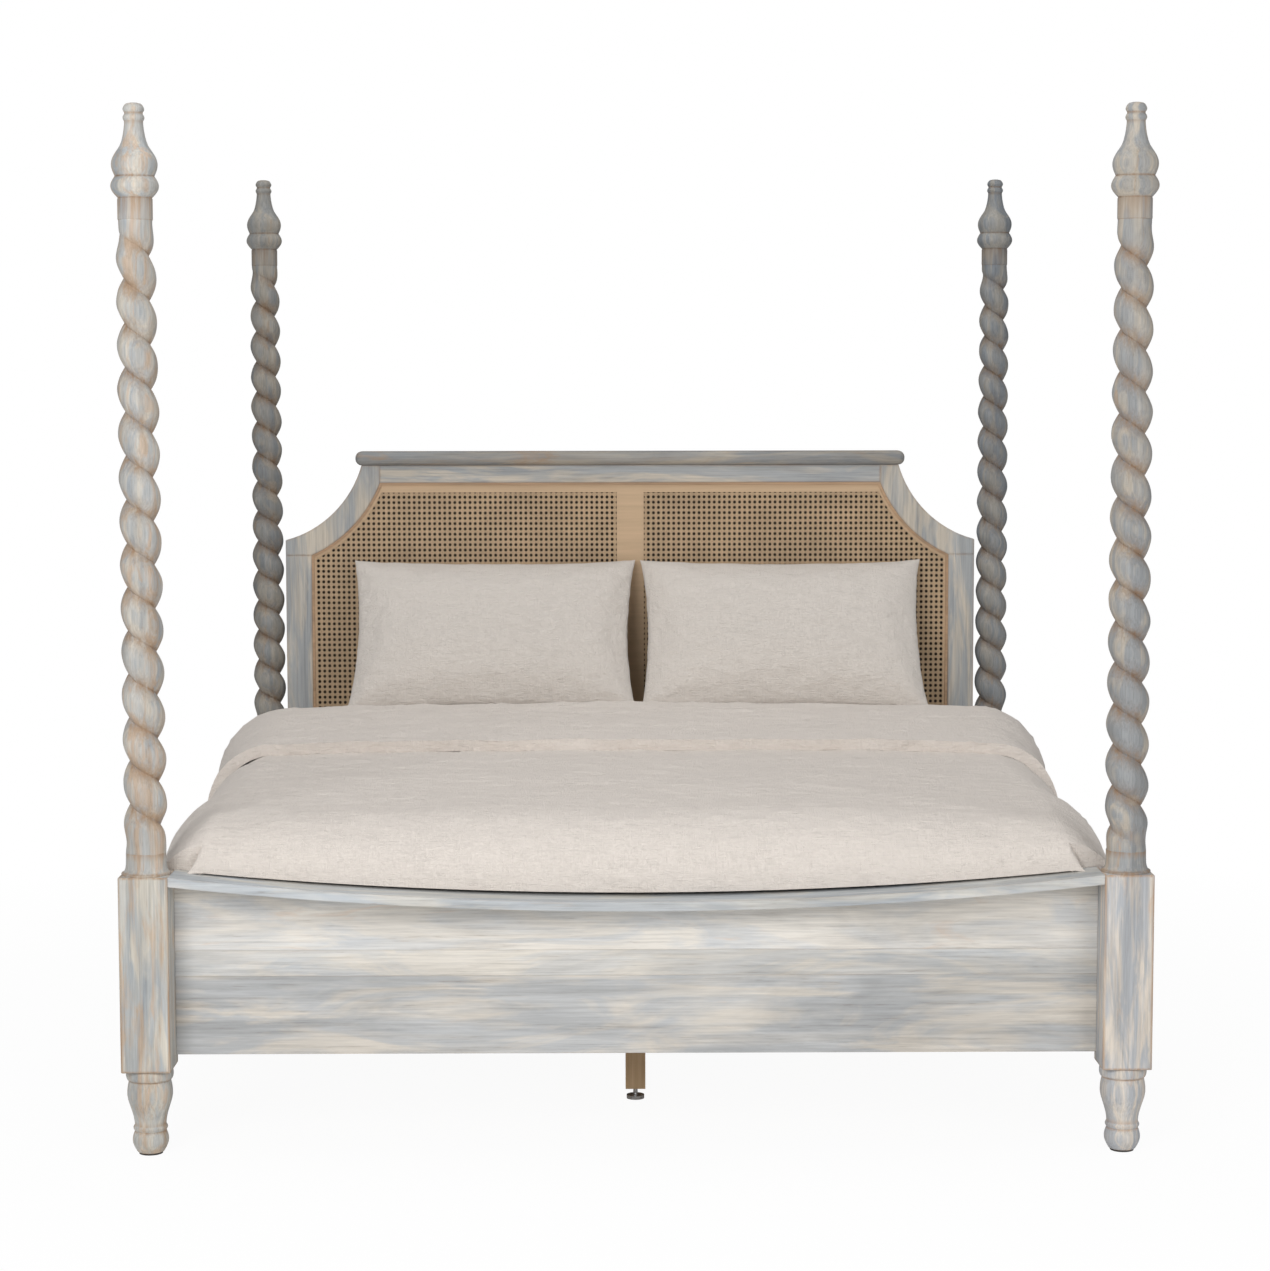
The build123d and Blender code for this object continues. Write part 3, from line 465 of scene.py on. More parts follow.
def crispness(before, here, after):
    """How sharply a profile turns at a point, from 0 for smooth to 1 for a crisp corner."""
    first, second = Vector(here) - Vector(before), Vector(after) - Vector(here)
    return min(1.0, max(0.0, abs(first.angle_signed(second, 0)) - 0.25) / 0.5)


def add_lathe(bm, profile, centre, steps):
    """Spin a profile of radius and height about an upright axis; crisp rings are rubbed."""
    wear_and_groove_shade = wear_and_shade_layer(bm)
    verts = [bm.verts.new((centre[0] + r, centre[1], z)) for r, z in profile]
    for vert, *corner in zip(verts[1:], profile, profile[1:], profile[2:]):
        vert[wear_and_groove_shade] = crispness(*corner)
    edges = [bm.edges.new(pair) for pair in zip(verts, verts[1:])]
    bmesh.ops.spin(bm, geom=verts + edges, cent=(centre[0], centre[1], 0), axis=(0, 0, 1),
                   angle=2 * math.pi, steps=steps, use_merge=True, use_duplicate=False)


def arc(centre, radius, start, end, count):
    """Points on a circle from one angle to another."""
    return [(centre[0] + radius * math.cos(start + (end - start) * i / count),
             centre[1] + radius * math.sin(start + (end - start) * i / count))
            for i in range(count + 1)]


def bulge(low, high, radius, count):
    """Points of a round turned between two profile points, with its widest radius."""
    points = []
    for i in range(1, count):
        share = i / count
        chord = low[0] + (high[0] - low[0]) * share
        swell = (radius - (low[0] + high[0]) / 2) * math.sin(math.pi * share)
        points.append((chord + swell, low[1] + (high[1] - low[1]) * share))
    return points


def middle_of(node):
    low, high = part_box(node)
    return [(a + b) / 2 for a, b in zip(low, high)]


# Posts, finials and legs
# The back posts' low tints are partly painted shade: they darken the posts as the light falls off
# towards the head, on top of the posts' own darker tone.
POST_TONES_AND_SHADE = {
    "front_left": dict(tint=(0.827, 0.838, 0.850), bare=0.42, cool=0.44, place=(0.3, 0.1, 0.2)),
    "front_right": dict(tint=(0.694, 0.678, 0.664), bare=0.30, cool=0.60, place=(1.3, 2.1, 0.9)),
    "back_left": dict(tint=(0.473, 0.473, 0.470), bare=0.34, cool=0.48, place=(2.6, 0.7, 1.6)),
    "back_right": dict(tint=(0.440, 0.456, 0.478), bare=0.30, cool=0.58, place=(3.8, 1.9, 2.2)),
}
TWIST = {
    "front_left": dict(pitch=0.091, start=62), "front_right": dict(pitch=0.0865, start=205),
    "back_left": dict(pitch=0.0845, start=150), "back_right": dict(pitch=0.0855, start=20),
}
TWIST_BOTTOM, TWIST_TOP = 0.643, 1.959
STRAND_BOTTOM, STRAND_TOP, STRAND_SWAY = 0.0385, 0.0335, 0.0073
NECK_BOTTOM, NECK_TOP = 0.0418, 0.0352
RINGS_PER_TURN, EASE_TURNS = 22, 0.9
POST_BASE = [(0.0, 0.598), (0.0515, 0.598), (0.052, 0.5995), (0.0512, 0.6018), (0.0478, 0.6028),
             (0.0455, 0.6060), (0.0434, 0.6115), (0.0424, 0.6180), (0.0420, 0.6280),
             (0.0418, 0.6440), (0.0, 0.6440)]
POST_CAP = ([(0.0, 1.958), (0.0352, 1.958), (0.036, 1.960), (0.036, 2.001), (0.0345, 2.003)]
            + bulge((0.0345, 2.003), (0.041, 2.047), 0.0492, 12) + [(0.041, 2.047), (0.0, 2.047)])
FINIAL = ([(0.0, 2.047), (0.040, 2.047)]
          + bulge((0.040, 2.047), (0.0335, 2.103), 0.0472, 14)
          + [(0.0335, 2.103), (0.0290, 2.110), (0.0255, 2.119), (0.0228, 2.130), (0.0208, 2.141),
             (0.0196, 2.152), (0.0192, 2.159)]
          + bulge((0.0196, 2.160), (0.0196, 2.173), 0.0222, 8)
          + [(0.0190, 2.1735), (0.0186, 2.1765)]
          + bulge((0.0190, 2.177), (0.0190, 2.191), 0.0220, 8)
          + [(0.0182, 2.1925), (0.0150, 2.1952), (0.0080, 2.1968), (0.0, 2.197)])
FOOT = ([(0.0, 0.004), (0.0270, 0.004), (0.0290, 0.006)]
        + bulge((0.0290, 0.006), (0.0335, 0.049), 0.0378, 10)
        + [(0.0330, 0.0495)] + bulge((0.0332, 0.0505), (0.0332, 0.0625), 0.0362, 6)
        + [(0.0330, 0.0635), (0.0338, 0.072), (0.0356, 0.082), (0.0386, 0.093), (0.0424, 0.105),
           (0.0458, 0.116), (0.0478, 0.127), (0.0476, 0.138), (0.0462, 0.148), (0.0444, 0.156),
           (0.0438, 0.159), (0.0470, 0.1605)]
        + bulge((0.0480, 0.161), (0.0480, 0.183), 0.0500, 8) + [(0.0470, 0.183), (0.0, 0.183)])
BLOCK_BOTTOM = FOOT[-1][1]


def add_twist(bm, centre, pitch, start, groove, carving, facets):
    """One strand that climbs left-handed round the post, with a sharp groove between turns."""
    high, start = TWIST_TOP - TWIST_BOTTOM, math.radians(start)
    turns = high / pitch
    steps = round(turns * RINGS_PER_TURN)
    wear_and_groove_shade = wear_and_shade_layer(bm)
    ring = bmesh.ops.create_circle(bm, segments=facets, radius=1, cap_ends=False)["verts"]
    edges = list({e for v in ring for e in v.link_edges})
    bmesh.ops.rotate(bm, verts=ring, cent=(0, 0, 0), matrix=Matrix.Rotation(start, 3, "Z"))
    bmesh.ops.spin(bm, geom=ring + edges, cent=(0, 0, 0), axis=(0, 0, 1),
                   dvec=(0, 0, high / steps), angle=-2 * math.pi * turns, steps=steps,
                   use_merge=False, use_duplicate=False)
    for vert in bm.verts:
        share = vert.co.z / high
        angle = math.atan2(vert.co.y, vert.co.x)
        phase = angle - start + 2 * math.pi * turns * share
        strand = STRAND_BOTTOM + (STRAND_TOP - STRAND_BOTTOM) * share
        swell = abs(math.cos(phase / 2)) ** 0.85
        ease = min(1, share * turns / EASE_TURNS, (1 - share) * turns / EASE_TURNS)
        ease = ease * ease * (3 - 2 * ease)
        carved = strand + STRAND_SWAY - groove * (1 - swell)
        plain = NECK_BOTTOM + (NECK_TOP - NECK_BOTTOM) * share
        radius = plain + (carved - plain) * ease
        z = TWIST_BOTTOM + vert.co.z
        radius += carving * noise.noise(Vector((angle * 1.5, z * 30, pitch * 900)))
        # Wear is highest in the groove: partly dark pigment in the hollow, partly painted shade of
        # the groove.
        vert[wear_and_groove_shade] = ease * min(1, 1.25 * (1 - swell) ** 1.2)
        vert.co = (centre[0] + radius * math.cos(angle), centre[1] + radius * math.sin(angle), z)
    bmesh.ops.holes_fill(bm, edges=[e for e in bm.edges if len(e.link_faces) == 1])


class BED_OT_posts(bpy.types.Operator):
    """Carve the four twisted posts and turn their finials"""
    bl_idname = "bed.posts"
    bl_label = "Posts and finials"

    def execute(self, context):
        post = settings(context, "posts")
        for corner in CORNERS:
            wood = weathered_wood(context, f"post_wood_{corner}", "up", fine=2.2,
                                  **POST_TONES_AND_SHADE[corner])
            centre = middle_of(f"twisted_post_{corner}")
            bm = bmesh.new()
            add_twist(bm, centre, TWIST[corner]["pitch"], TWIST[corner]["start"], post.groove,
                      post.carving, post.facets)
            add_lathe(bm, POST_BASE, centre, post.facets)
            add_lathe(bm, POST_CAP, centre, post.facets)
            finish_mesh(f"carved_post_{corner}", bm, ROOT, wood, f"twisted_post_{corner}")
            bm = bmesh.new()
            add_lathe(bm, FINIAL, centre, post.facets)
            finish_mesh(f"turned_finial_{corner}", bm, f"finial_{corner}_body", wood,
                        f"finial_{corner}")
        return {"FINISHED"}


LEG_TINTS = {
    "front_left": (0.866, 0.880, 0.886), "front_right": (0.979, 0.952, 0.951),
    "back_left": (0.74, 0.73, 0.71), "back_right": (0.72, 0.73, 0.74),
}


class BED_OT_legs(bpy.types.Operator):
    """Shape the square blocks and turned feet of the four legs"""
    bl_idname = "bed.legs"
    bl_label = "Legs"

    def execute(self, context):
        wood = settings(context, "wood")
        for corner in CORNERS:
            low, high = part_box(f"leg_{corner}")
            centre = middle_of(f"leg_{corner}")
            bm = bmesh.new()
            add_box(bm, (low[0], low[1], BLOCK_BOTTOM), high)
            soften(bm, wood.edge_rub, wood.edge_round)
            add_lathe(bm, FOOT, centre, 56)
            finish = weathered_wood(context, f"leg_wood_{corner}", "up", fine=2.2,
                                    **{**POST_TONES_AND_SHADE[corner], "tint": LEG_TINTS[corner]})
            finish_mesh(f"turned_leg_{corner}", bm, ROOT, finish, f"leg_{corner}")
        return {"FINISHED"}


# Headboard
HEAD_IN, HEAD_OUT = 0.905, 0.978
HEAD_BOTTOM, OPENING_BOTTOM, OPENING_TOP, HEAD_TOP = 0.204, 0.660, 1.347, 1.396
CORNER_X, CORNER_Z, CORNER_R, CORNER_OUTER_R, CORNER_STEPS = 1.057, 1.482, 0.373, 0.308, 16
RAIL_HIGH, CAP_BAR_ROUND = 0.12, 0.0185


def hollow_corner(radius, x_low, z_high):
    """The hollow corner curve of the right side, from its low outer to its high inner end."""
    low = -math.acos((x_low - CORNER_X) / radius)
    high = -math.pi - math.asin((z_high - CORNER_Z) / radius)
    return arc((CORNER_X, CORNER_Z), radius, low, high, CORNER_STEPS)


def opening_outline(inset, top_inset):
    """The cane opening as a closed outline, drawn in on every side."""
    side, top = HEAD_IN - inset, OPENING_TOP - top_inset
    right = [(side, OPENING_BOTTOM + inset)] + hollow_corner(CORNER_R + inset, side, top)
    return right + [(-x, z) for x, z in reversed(right)]


def mirrored(outline, side):
    return outline if side > 0 else [(-x, z) for x, z in reversed(outline)]


def headboard_outlines():
    """Every flat piece of the headboard's frame, by the CAD node that it stands for."""
    inner = hollow_corner(CORNER_R, HEAD_IN, OPENING_TOP)
    outer = hollow_corner(CORNER_OUTER_R, HEAD_OUT, HEAD_TOP)
    low_z, high_x = inner[0][1], inner[-1][0]
    stile = [(HEAD_IN, HEAD_BOTTOM), (HEAD_OUT, HEAD_BOTTOM), (HEAD_OUT, low_z), (HEAD_IN, low_z)]
    bracket = [(HEAD_OUT, low_z)] + outer + [(high_x, HEAD_TOP)] + inner[::-1]
    pieces = {}
    for name, side in SIDES.items():
        pieces[f"headboard_stile_{name}"] = mirrored(stile, side)
        pieces[f"headboard_bracket_{name}"] = mirrored(bracket, side)
    for name, half, low, high in (
            ("top_rail", high_x, OPENING_TOP, HEAD_TOP),
            ("lower_rail", HEAD_IN, OPENING_BOTTOM - RAIL_HIGH, OPENING_BOTTOM),
            ("bottom_rail", HEAD_IN, HEAD_BOTTOM, HEAD_BOTTOM + RAIL_HIGH)):
        pieces[f"headboard_{name}"] = [(-half, low), (half, low), (half, high), (-half, high)]
    return pieces


HEADBOARD_TINT = (0.778, 0.762, 0.744)
CAP_BAR_TINT = (0.522, 0.509, 0.497)


class BED_OT_headboard(bpy.types.Operator):
    """Build the headboard's frame with its curved corners and cap bar"""
    bl_idname = "bed.headboard"
    bl_label = "Headboard frame"

    def execute(self, context):
        wood = settings(context, "wood")
        tone = dict(tint=HEADBOARD_TINT, fine=1.5, bare=0.22, cool=0.60)
        finishes = {grain: weathered_wood(context, f"headboard_wood_{grain}", grain,
                                          place=(0.4, 1.1, 0.8), **tone)
                    for grain in ("up", "across")}
        low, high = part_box("headboard_top_rail")
        for node, outline in headboard_outlines().items():
            grain = "up" if "stile" in node or "bracket" in node else "across"
            bm = bmesh.new()
            add_slab(bm, outline, low[1], high[1] - low[1])
            soften(bm, wood.edge_rub, wood.edge_round * 0.5, rubbed_and_shaded=0.5)
            finish_mesh("dressed_" + node, bm, ROOT, finishes[grain], node)
        bm = bmesh.new()
        add_box(bm, *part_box("headboard_cap_bar"))
        round_edges(bm, bm.edges[:], CAP_BAR_ROUND, 8)
        finish_mesh("bullnosed_cap_bar", bm, ROOT,
                    weathered_wood(context, "cap_bar_wood", "across", tint=CAP_BAR_TINT,
                                   bare=0.40, cool=0.5, place=(0.9, 0.2, 2.8)),
                    "headboard_cap_bar")
        return {"FINISHED"}


# Cane panel
CANE_EDGE, CANE_NEAR, CANE_START, CANE_LIFT, TWIN_GAP = 0.004, 0.030, 0.008, 0.0006, 0.62
BORDER_THICK = 0.0012
STRIP_TONE = (0.539, 0.382, 0.238)


def in_opening(x, z, inset):
    """Whether a point lies inside the opening by at least an inset."""
    if not (abs(x) < HEAD_IN - inset and OPENING_BOTTOM + inset < z < OPENING_TOP - inset):
        return False
    return math.hypot(abs(x) - CORNER_X, z - CORNER_Z) > CORNER_R + inset


def cut_short(end, centre, across):
    """A strand's end, cut short where its line meets the hollow corner's curve."""
    span = (CORNER_R + CANE_EDGE) ** 2 - across ** 2
    return min(end, centre - math.sqrt(span)) if span > 0 else end


def add_ribbon(bm, start, end, width, face_y, lift, wave, phase):
    """A flat strand from one point to another that goes over and under as it runs."""
    run = Vector((end[0] - start[0], 0, end[1] - start[1]))
    steps = max(2, round(run.length / wave * 2))
    side = Vector((-run.z, 0, run.x)).normalized() * width
    place = Matrix((
        (side.x, run.x, 0, (start[0] + end[0]) / 2), (0, 0, 1, face_y),
        (side.z, run.z, 0, (start[1] + end[1]) / 2), (0, 0, 0, 1)))
    made = bmesh.ops.create_grid(bm, x_segments=1, y_segments=steps, size=0.5, matrix=place)
    for vert in made["verts"]:
        gone = Vector((vert.co.x - start[0], 0, vert.co.z - start[1])).dot(run.normalized())
        vert.co.y += lift * math.cos(math.pi * gone / (wave / 2) + phase)


def weave_side(bm, side, cane, face_y):
    """One sheet of cane: pairs of upright and level strands with diagonals through them."""
    for i in range(int((HEAD_IN - CANE_NEAR) / cane.pitch_x) + 1):
        x = CANE_NEAR + i * cane.pitch_x
        if x > HEAD_IN - CANE_EDGE:
            continue
        top = cut_short(OPENING_TOP - CANE_EDGE, CORNER_Z, CORNER_X - x)
        for twin in (-1, 1):
            at = side * (x + twin * cane.strand * TWIN_GAP)
            add_ribbon(bm, (at, OPENING_BOTTOM + CANE_EDGE), (at, top), cane.strand, face_y,
                       CANE_LIFT, cane.pitch_z, math.pi * (i % 2))
    rows = int((OPENING_TOP - OPENING_BOTTOM) / cane.pitch_z)
    for j in range(rows):
        z = OPENING_BOTTOM + CANE_START + j * cane.pitch_z
        far = cut_short(HEAD_IN - CANE_EDGE, CORNER_X, z - CORNER_Z)
        for twin in (-1, 1):
            at = z + twin * cane.strand * TWIN_GAP
            add_ribbon(bm, (side * CANE_NEAR, at), (side * far, at), cane.strand, face_y,
                       CANE_LIFT, cane.pitch_x, math.pi * ((j + 1) % 2))
    slope = cane.pitch_z / cane.pitch_x
    for lean in (-1, 1):
        for k in range(-rows, int(HEAD_IN / cane.pitch_x) + rows):
            inside = []
            for step in range(2 * rows + 1):
                z = OPENING_BOTTOM + CANE_START + step * cane.pitch_z / 2
                x = (CANE_NEAR + cane.pitch_x * (k + 0.5)
                     + lean * (z - OPENING_BOTTOM - CANE_START) / slope)
                if x > CANE_NEAR and in_opening(x, z, 0.001):
                    inside.append((side * x, z))
            if len(inside) > 1:
                add_ribbon(bm, inside[0], inside[-1], cane.strand * 0.72, face_y + lean * 0.0009,
                           0.0004, cane.pitch_z * 1.4, math.pi * (k % 2))


class BED_OT_cane(bpy.types.Operator):
    """Weave the open cane and lay its border, bead, centre strip and back panel"""
    bl_idname = "bed.cane"
    bl_label = "Cane panel"

    def execute(self, context):
        cane = settings(context, "cane")
        strands, tree, shader, spot = new_material("woven_cane")
        fibre = stretched(tree, spot, (900, 900, 90), 2.0, 0.6)
        cloud = noise_at(tree, spot, 9.0, 3.0, 0.6)
        amount = ramp(tree, weighed(tree, (fibre, 0.6), (cloud, 0.4)), [(0.32, 0.0), (0.68, 1.0)])
        feed(tree, shader, {
            "Base Color": mix_colour(tree, amount, [c * 0.72 for c in cane.tone],
                                     [min(1, c * 1.22) for c in cane.tone]),
            "Roughness": 0.5})
        low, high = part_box("cane_sheet_left")
        for name, side in SIDES.items():
            bm = bmesh.new()
            weave_side(bm, side, cane, (low[1] + high[1]) / 2)
            finish_mesh(f"woven_cane_{name}", bm, ROOT, strands, f"cane_sheet_{name}")
        tan = grained("cane_border_wood", "across", [c * 1.12 for c in STRIP_TONE],
                      [c * 0.92 for c in STRIP_TONE], 0.55)
        bm = bmesh.new()
        loops = []
        for inset, top in ((0.003, 0.003), (0.014, 0.028)):
            verts = [bm.verts.new((x, low[1] - BORDER_THICK / 2, z))
                     for x, z in opening_outline(inset, top)]
            loops += [bm.edges.new(pair) for pair in zip(verts, verts[1:] + verts[:1])]
        bmesh.ops.bridge_loops(bm, edges=loops)
        bmesh.ops.solidify(bm, geom=bm.faces[:], thickness=BORDER_THICK)
        finish_mesh("cane_border", bm, ROOT, tan)
        refinish("cane_centre_strip", tan)
        refinish("cane_bead", weathered_wood(context, "bead_wood", "across",
                                             tint=(0.72, 0.60, 0.48), bare=0.7, cool=0.35))
        # The backing board is near-black brown: partly its own dark wood, partly painted shade
        # seen through the cane's holes.
        refinish("headboard_back_panel", grained(
            "back_panel_wood_and_shade", "across", (0.055, 0.036, 0.022), (0.03, 0.019, 0.012), 0.7))
        return {"FINISHED"}


# Footboard
DIP, CAP_THICK, CURVE_STEPS = 0.054, 0.020, 40


def hollow(x):
    """How far the footboard's top has dropped at x."""
    radius = (HEAD_OUT ** 2 + DIP ** 2) / (2 * DIP)
    return DIP - radius + math.sqrt(radius ** 2 - x ** 2)


class BED_OT_footboard(bpy.types.Operator):
    """Build the footboard's three boards and its hollow cap"""
    bl_idname = "bed.footboard"
    bl_label = "Footboard"

    def execute(self, context):
        wood = settings(context, "wood")
        tones = {
            "footboard_board_bottom": dict(tint=(0.925, 0.915, 0.917), bare=0.24, cool=0.60,
                                           place=(0.0, 0.35, 0.1)),
            "footboard_board_middle": dict(tint=(1.016, 1.017, 1.028), bare=0.20, cool=0.46,
                                           place=(0.7, 0.2, 1.9)),
            "footboard_board_top": dict(tint=(1.065, 1.073, 1.102), bare=0.30, cool=0.46,
                                        place=(1.4, 0.9, 0.6)),
            "footboard_cap": dict(tint=(0.902, 0.937, 0.981), bare=0.26, cool=0.52,
                                  place=(2.2, 0.4, 1.1)),
        }
        for node, tone in tones.items():
            low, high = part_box(node)
            xs = [low[0] + (high[0] - low[0]) * i / CURVE_STEPS for i in range(CURVE_STEPS + 1)]
            lower = [(low[0], low[2]), (high[0], low[2])]
            upper = [(x, high[2] - hollow(x)) for x in reversed(xs)]
            if node == "footboard_cap":
                lower = [(x, z - CAP_THICK) for x, z in reversed(upper)]
            elif node != "footboard_board_top":
                upper = [(high[0], high[2]), (low[0], high[2])]
            bm = bmesh.new()
            add_slab(bm, lower + upper, low[1], high[1] - low[1])
            soften(bm, wood.edge_rub / 2, wood.edge_round * 0.25, rubbed_and_shaded=0.2)
            finish_mesh("dressed_" + node, bm, ROOT,
                        weathered_wood(context, node + "_wood", "across", even=0.35, **tone), node)
        return {"FINISHED"}


# Base under the mattress
class BED_OT_base(bpy.types.Operator):
    """Finish the side rails, slats, beam, legs and fittings under the mattress"""
    bl_idname = "bed.base"
    bl_label = "Base and fittings"

    def execute(self, context):
        wood = settings(context, "wood")
        along = weathered_wood(context, "side_rail_wood", "along", tint=(0.90, 0.90, 0.90),
                               bare=0.26, cool=0.55)
        for side in SIDES:
            bm = bmesh.new()
            add_box(bm, *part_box(f"side_rail_{side}"))
            soften(bm, wood.edge_rub, wood.edge_round)
            finish_mesh(f"dressed_side_rail_{side}", bm, ROOT, along, f"side_rail_{side}")
        pine = {grain: grained(f"pine_{grain}", grain, (0.66, 0.48, 0.29), (0.48, 0.31, 0.17))
                for grain in ("up", "across", "along")}
        finishes = {"plain_wood": None,
                    "zinc_steel": metal("zinc_plate", (0.60, 0.61, 0.62), 0.38),
                    "insert_brass": metal("insert_brass", (0.68, 0.52, 0.25), 0.4),
                    "glide_plastic": moulded("glide_plastic", (0.05, 0.045, 0.04))}
        grain_of = {"slats": "across", "footboard_dowels": "up", "footboard_tenons": "across",
                    "finial_pins": "up"}
        for entry in frame["record"]["subparts"]:
            node, slot = entry["node"], entry["material_slot"]
            if slot in finishes:
                grain = grain_of.get(node, "up" if node.startswith("centre_leg") else "along")
                refinish(node, finishes[slot] or pine[grain])
        return {"FINISHED"}


# Bedding
MATTRESS_TOP, FOOT_CAP_Z = 0.6253, 0.598
LOFT, CROWN = 0.077, 0.012
FOOT_Y, WIDE_Y, FOLD_Y, CREASE_Y = -1.047, -1.006, 0.120, 0.785
FOOT_TOP_Z, FOOT_SHOULDER_Z, FOOT_RUN, FOOT_FLARE = 0.5443, 0.5916, 0.200, 0.040
TIGHT, TIGHT_RUN, SWAY, SWAY_LENGTH = 0.042, 0.520, 0.008, 0.56
FOLD_STEP, FOLD_LOFT, FOLD_SIDE, CREASE_ROUND = 0.028, 0.062, 0.040, 0.150
SHOULDER_X, BEND_X, BEND_Z, LEAST_BEND_Z, SIDE_X, SIDE_Z, HEM_X, HEM_Z = (
    0.915, 1.008, 0.6403, 0.6218, 1.058, 0.5353, 1.086, 0.350)
BODY_COVER, FOLD_COVER = 0.022, 0.029
TOP_POINTS, ARC_POINTS, SIDE_POINTS, HEM_POINTS = 60, 14, 16, 2


def ease_round(share):
    share = max(0.0, min(1.0, share))
    return math.sqrt(1 - (1 - share) ** 2)


def through(first, middle, last, count):
    """Points on the circle through three points, anticlockwise from the first to the last."""
    (ax, az), (bx, bz), (cx, cz) = first, middle, last
    d = 2 * (ax * (bz - cz) + bx * (cz - az) + cx * (az - bz))
    ux = ((ax * ax + az * az) * (bz - cz) + (bx * bx + bz * bz) * (cz - az)
          + (cx * cx + cz * cz) * (az - bz)) / d
    uz = ((ax * ax + az * az) * (cx - bx) + (bx * bx + bz * bz) * (ax - cx)
          + (cx * cx + cz * cz) * (bx - ax)) / d
    start, end = (math.atan2(z - uz, x - ux) for x, z in (first, last))
    return arc((ux, uz), math.hypot(ax - ux, az - uz), start, end, count)


def half_section(top, shoulder_z, out):
    """The duvet's right half at one place along the bed, from its middle to its hem."""
    side = (SIDE_X + out, SIDE_Z)
    lowered = MATTRESS_TOP + LOFT - CROWN - shoulder_z
    bend = (BEND_X + out, max(BEND_Z - lowered, LEAST_BEND_Z))
    points = []
    for i in range(TOP_POINTS):
        x = SHOULDER_X * i / TOP_POINTS
        points.append((x, top + (shoulder_z - top) * (x / SHOULDER_X) ** 2))
    points += through(side, bend, (SHOULDER_X, shoulder_z), ARC_POINTS)[::-1]
    hem = (HEM_X + out, HEM_Z)
    for i in range(1, SIDE_POINTS + 1):
        share = i / SIDE_POINTS
        points.append((side[0] + (hem[0] - side[0]) * share, side[1] + (hem[1] - side[1]) * share))
    points += [(hem[0] - 0.003, hem[1] - 0.007), (hem[0] - 0.012, hem[1] - 0.012)]
    return points


def sway(y):
    return SWAY * math.cos(2 * math.pi * y / SWAY_LENGTH)


def body_rise(y, rest, full):
    return rest + (full - rest) * ease_round((y - FOOT_Y) / FOOT_RUN)


def foot_section(y, top, shoulder):
    """Between the front posts, where the duvet rests on the footboard's cap."""
    half = SHOULDER_X + FOOT_FLARE * (1 - ease_round((y - FOOT_Y) / FOOT_RUN))
    low = FOOT_CAP_Z - hollow(half) - 0.004
    points = [(SHOULDER_X * i / TOP_POINTS, top + (shoulder - top) * (i / TOP_POINTS) ** 2)
              for i in range(TOP_POINTS)]
    rest = ARC_POINTS + 1 + SIDE_POINTS + HEM_POINTS
    for i in range(rest):
        angle = math.pi / 2 * i / (rest - 1)
        points.append((SHOULDER_X + (half - SHOULDER_X) * math.sin(angle),
                       low + (shoulder - low) * math.cos(angle)))
    return points


def body_section(y):
    top = body_rise(y, FOOT_TOP_Z, MATTRESS_TOP + LOFT)
    shoulder = body_rise(y, FOOT_SHOULDER_Z, MATTRESS_TOP + LOFT - CROWN)
    if y < WIDE_Y:
        sink = 0.004 * max(0, 1 - (y - FOOT_Y) / 0.004)
        return foot_section(y, top - sink, shoulder - sink)
    tight = TIGHT * (1 - ease_round((y - FOOT_Y) / TIGHT_RUN))
    return half_section(top, shoulder, sway(y) - tight)


def fold_section(y):
    flat_end = CREASE_Y - CREASE_ROUND
    share = max(0, min(1, (y - FOLD_Y) / (flat_end - FOLD_Y)))
    rise = FOLD_STEP + (FOLD_LOFT - FOLD_STEP) * share
    drop = 1.0
    if y > flat_end:
        drop = math.sqrt(max(0.0, 1 - ((y - flat_end) / CREASE_ROUND) ** 2))
    low = MATTRESS_TOP + 0.003
    top = low + (MATTRESS_TOP + LOFT + rise - low) * drop
    out = (FOLD_SIDE * rise / FOLD_LOFT + sway(y)) * drop
    return half_section(top, top - CROWN * drop, out)


def crumpled(place, depth):
    """Height of the soft creases of washed linen at a place."""
    far = noise.noise(Vector((place.x * 3.1, place.y * 4.3, place.z * 3.1)))
    mid = noise.noise(Vector((place.x * 8.5 + 5, place.y * 19 + 2, place.z * 11)))
    bend = place.y * 15 + 1.6 * noise.noise(Vector((place.x * 4, place.y * 4, 3)))
    ridge = 1 - abs(noise.noise(Vector((place.x * 6.5, bend, place.z * 9 + 7)))) * 3.2
    return depth * (0.9 * far + 0.55 * mid + 0.8 * max(0.0, ridge) ** 3)


def loft_cloth(bm, section, places, depth):
    """A sheet laid over cross-sections at places along the bed."""
    rows = [section(y) for y in places]
    across = 2 * (len(rows[0]) - 1)
    made = bmesh.ops.create_grid(bm, x_segments=across, y_segments=len(places) - 1, size=0.5)
    for vert in made["verts"]:
        i = round((vert.co.x + 0.5) * across) - across // 2
        j = round((vert.co.y + 0.5) * (len(places) - 1))
        x, z = rows[j][abs(i)]
        vert.co = (math.copysign(x, i) if i else 0.0, places[j], z)
    bm.normal_update()
    for vert in made["verts"]:
        calm = min(1, max(0, (vert.co.y - FOOT_Y) / 0.09)) * (1 if vert.co.z > 0.45 else 0.6)
        vert.co += vert.normal * crumpled(vert.co, depth) * calm


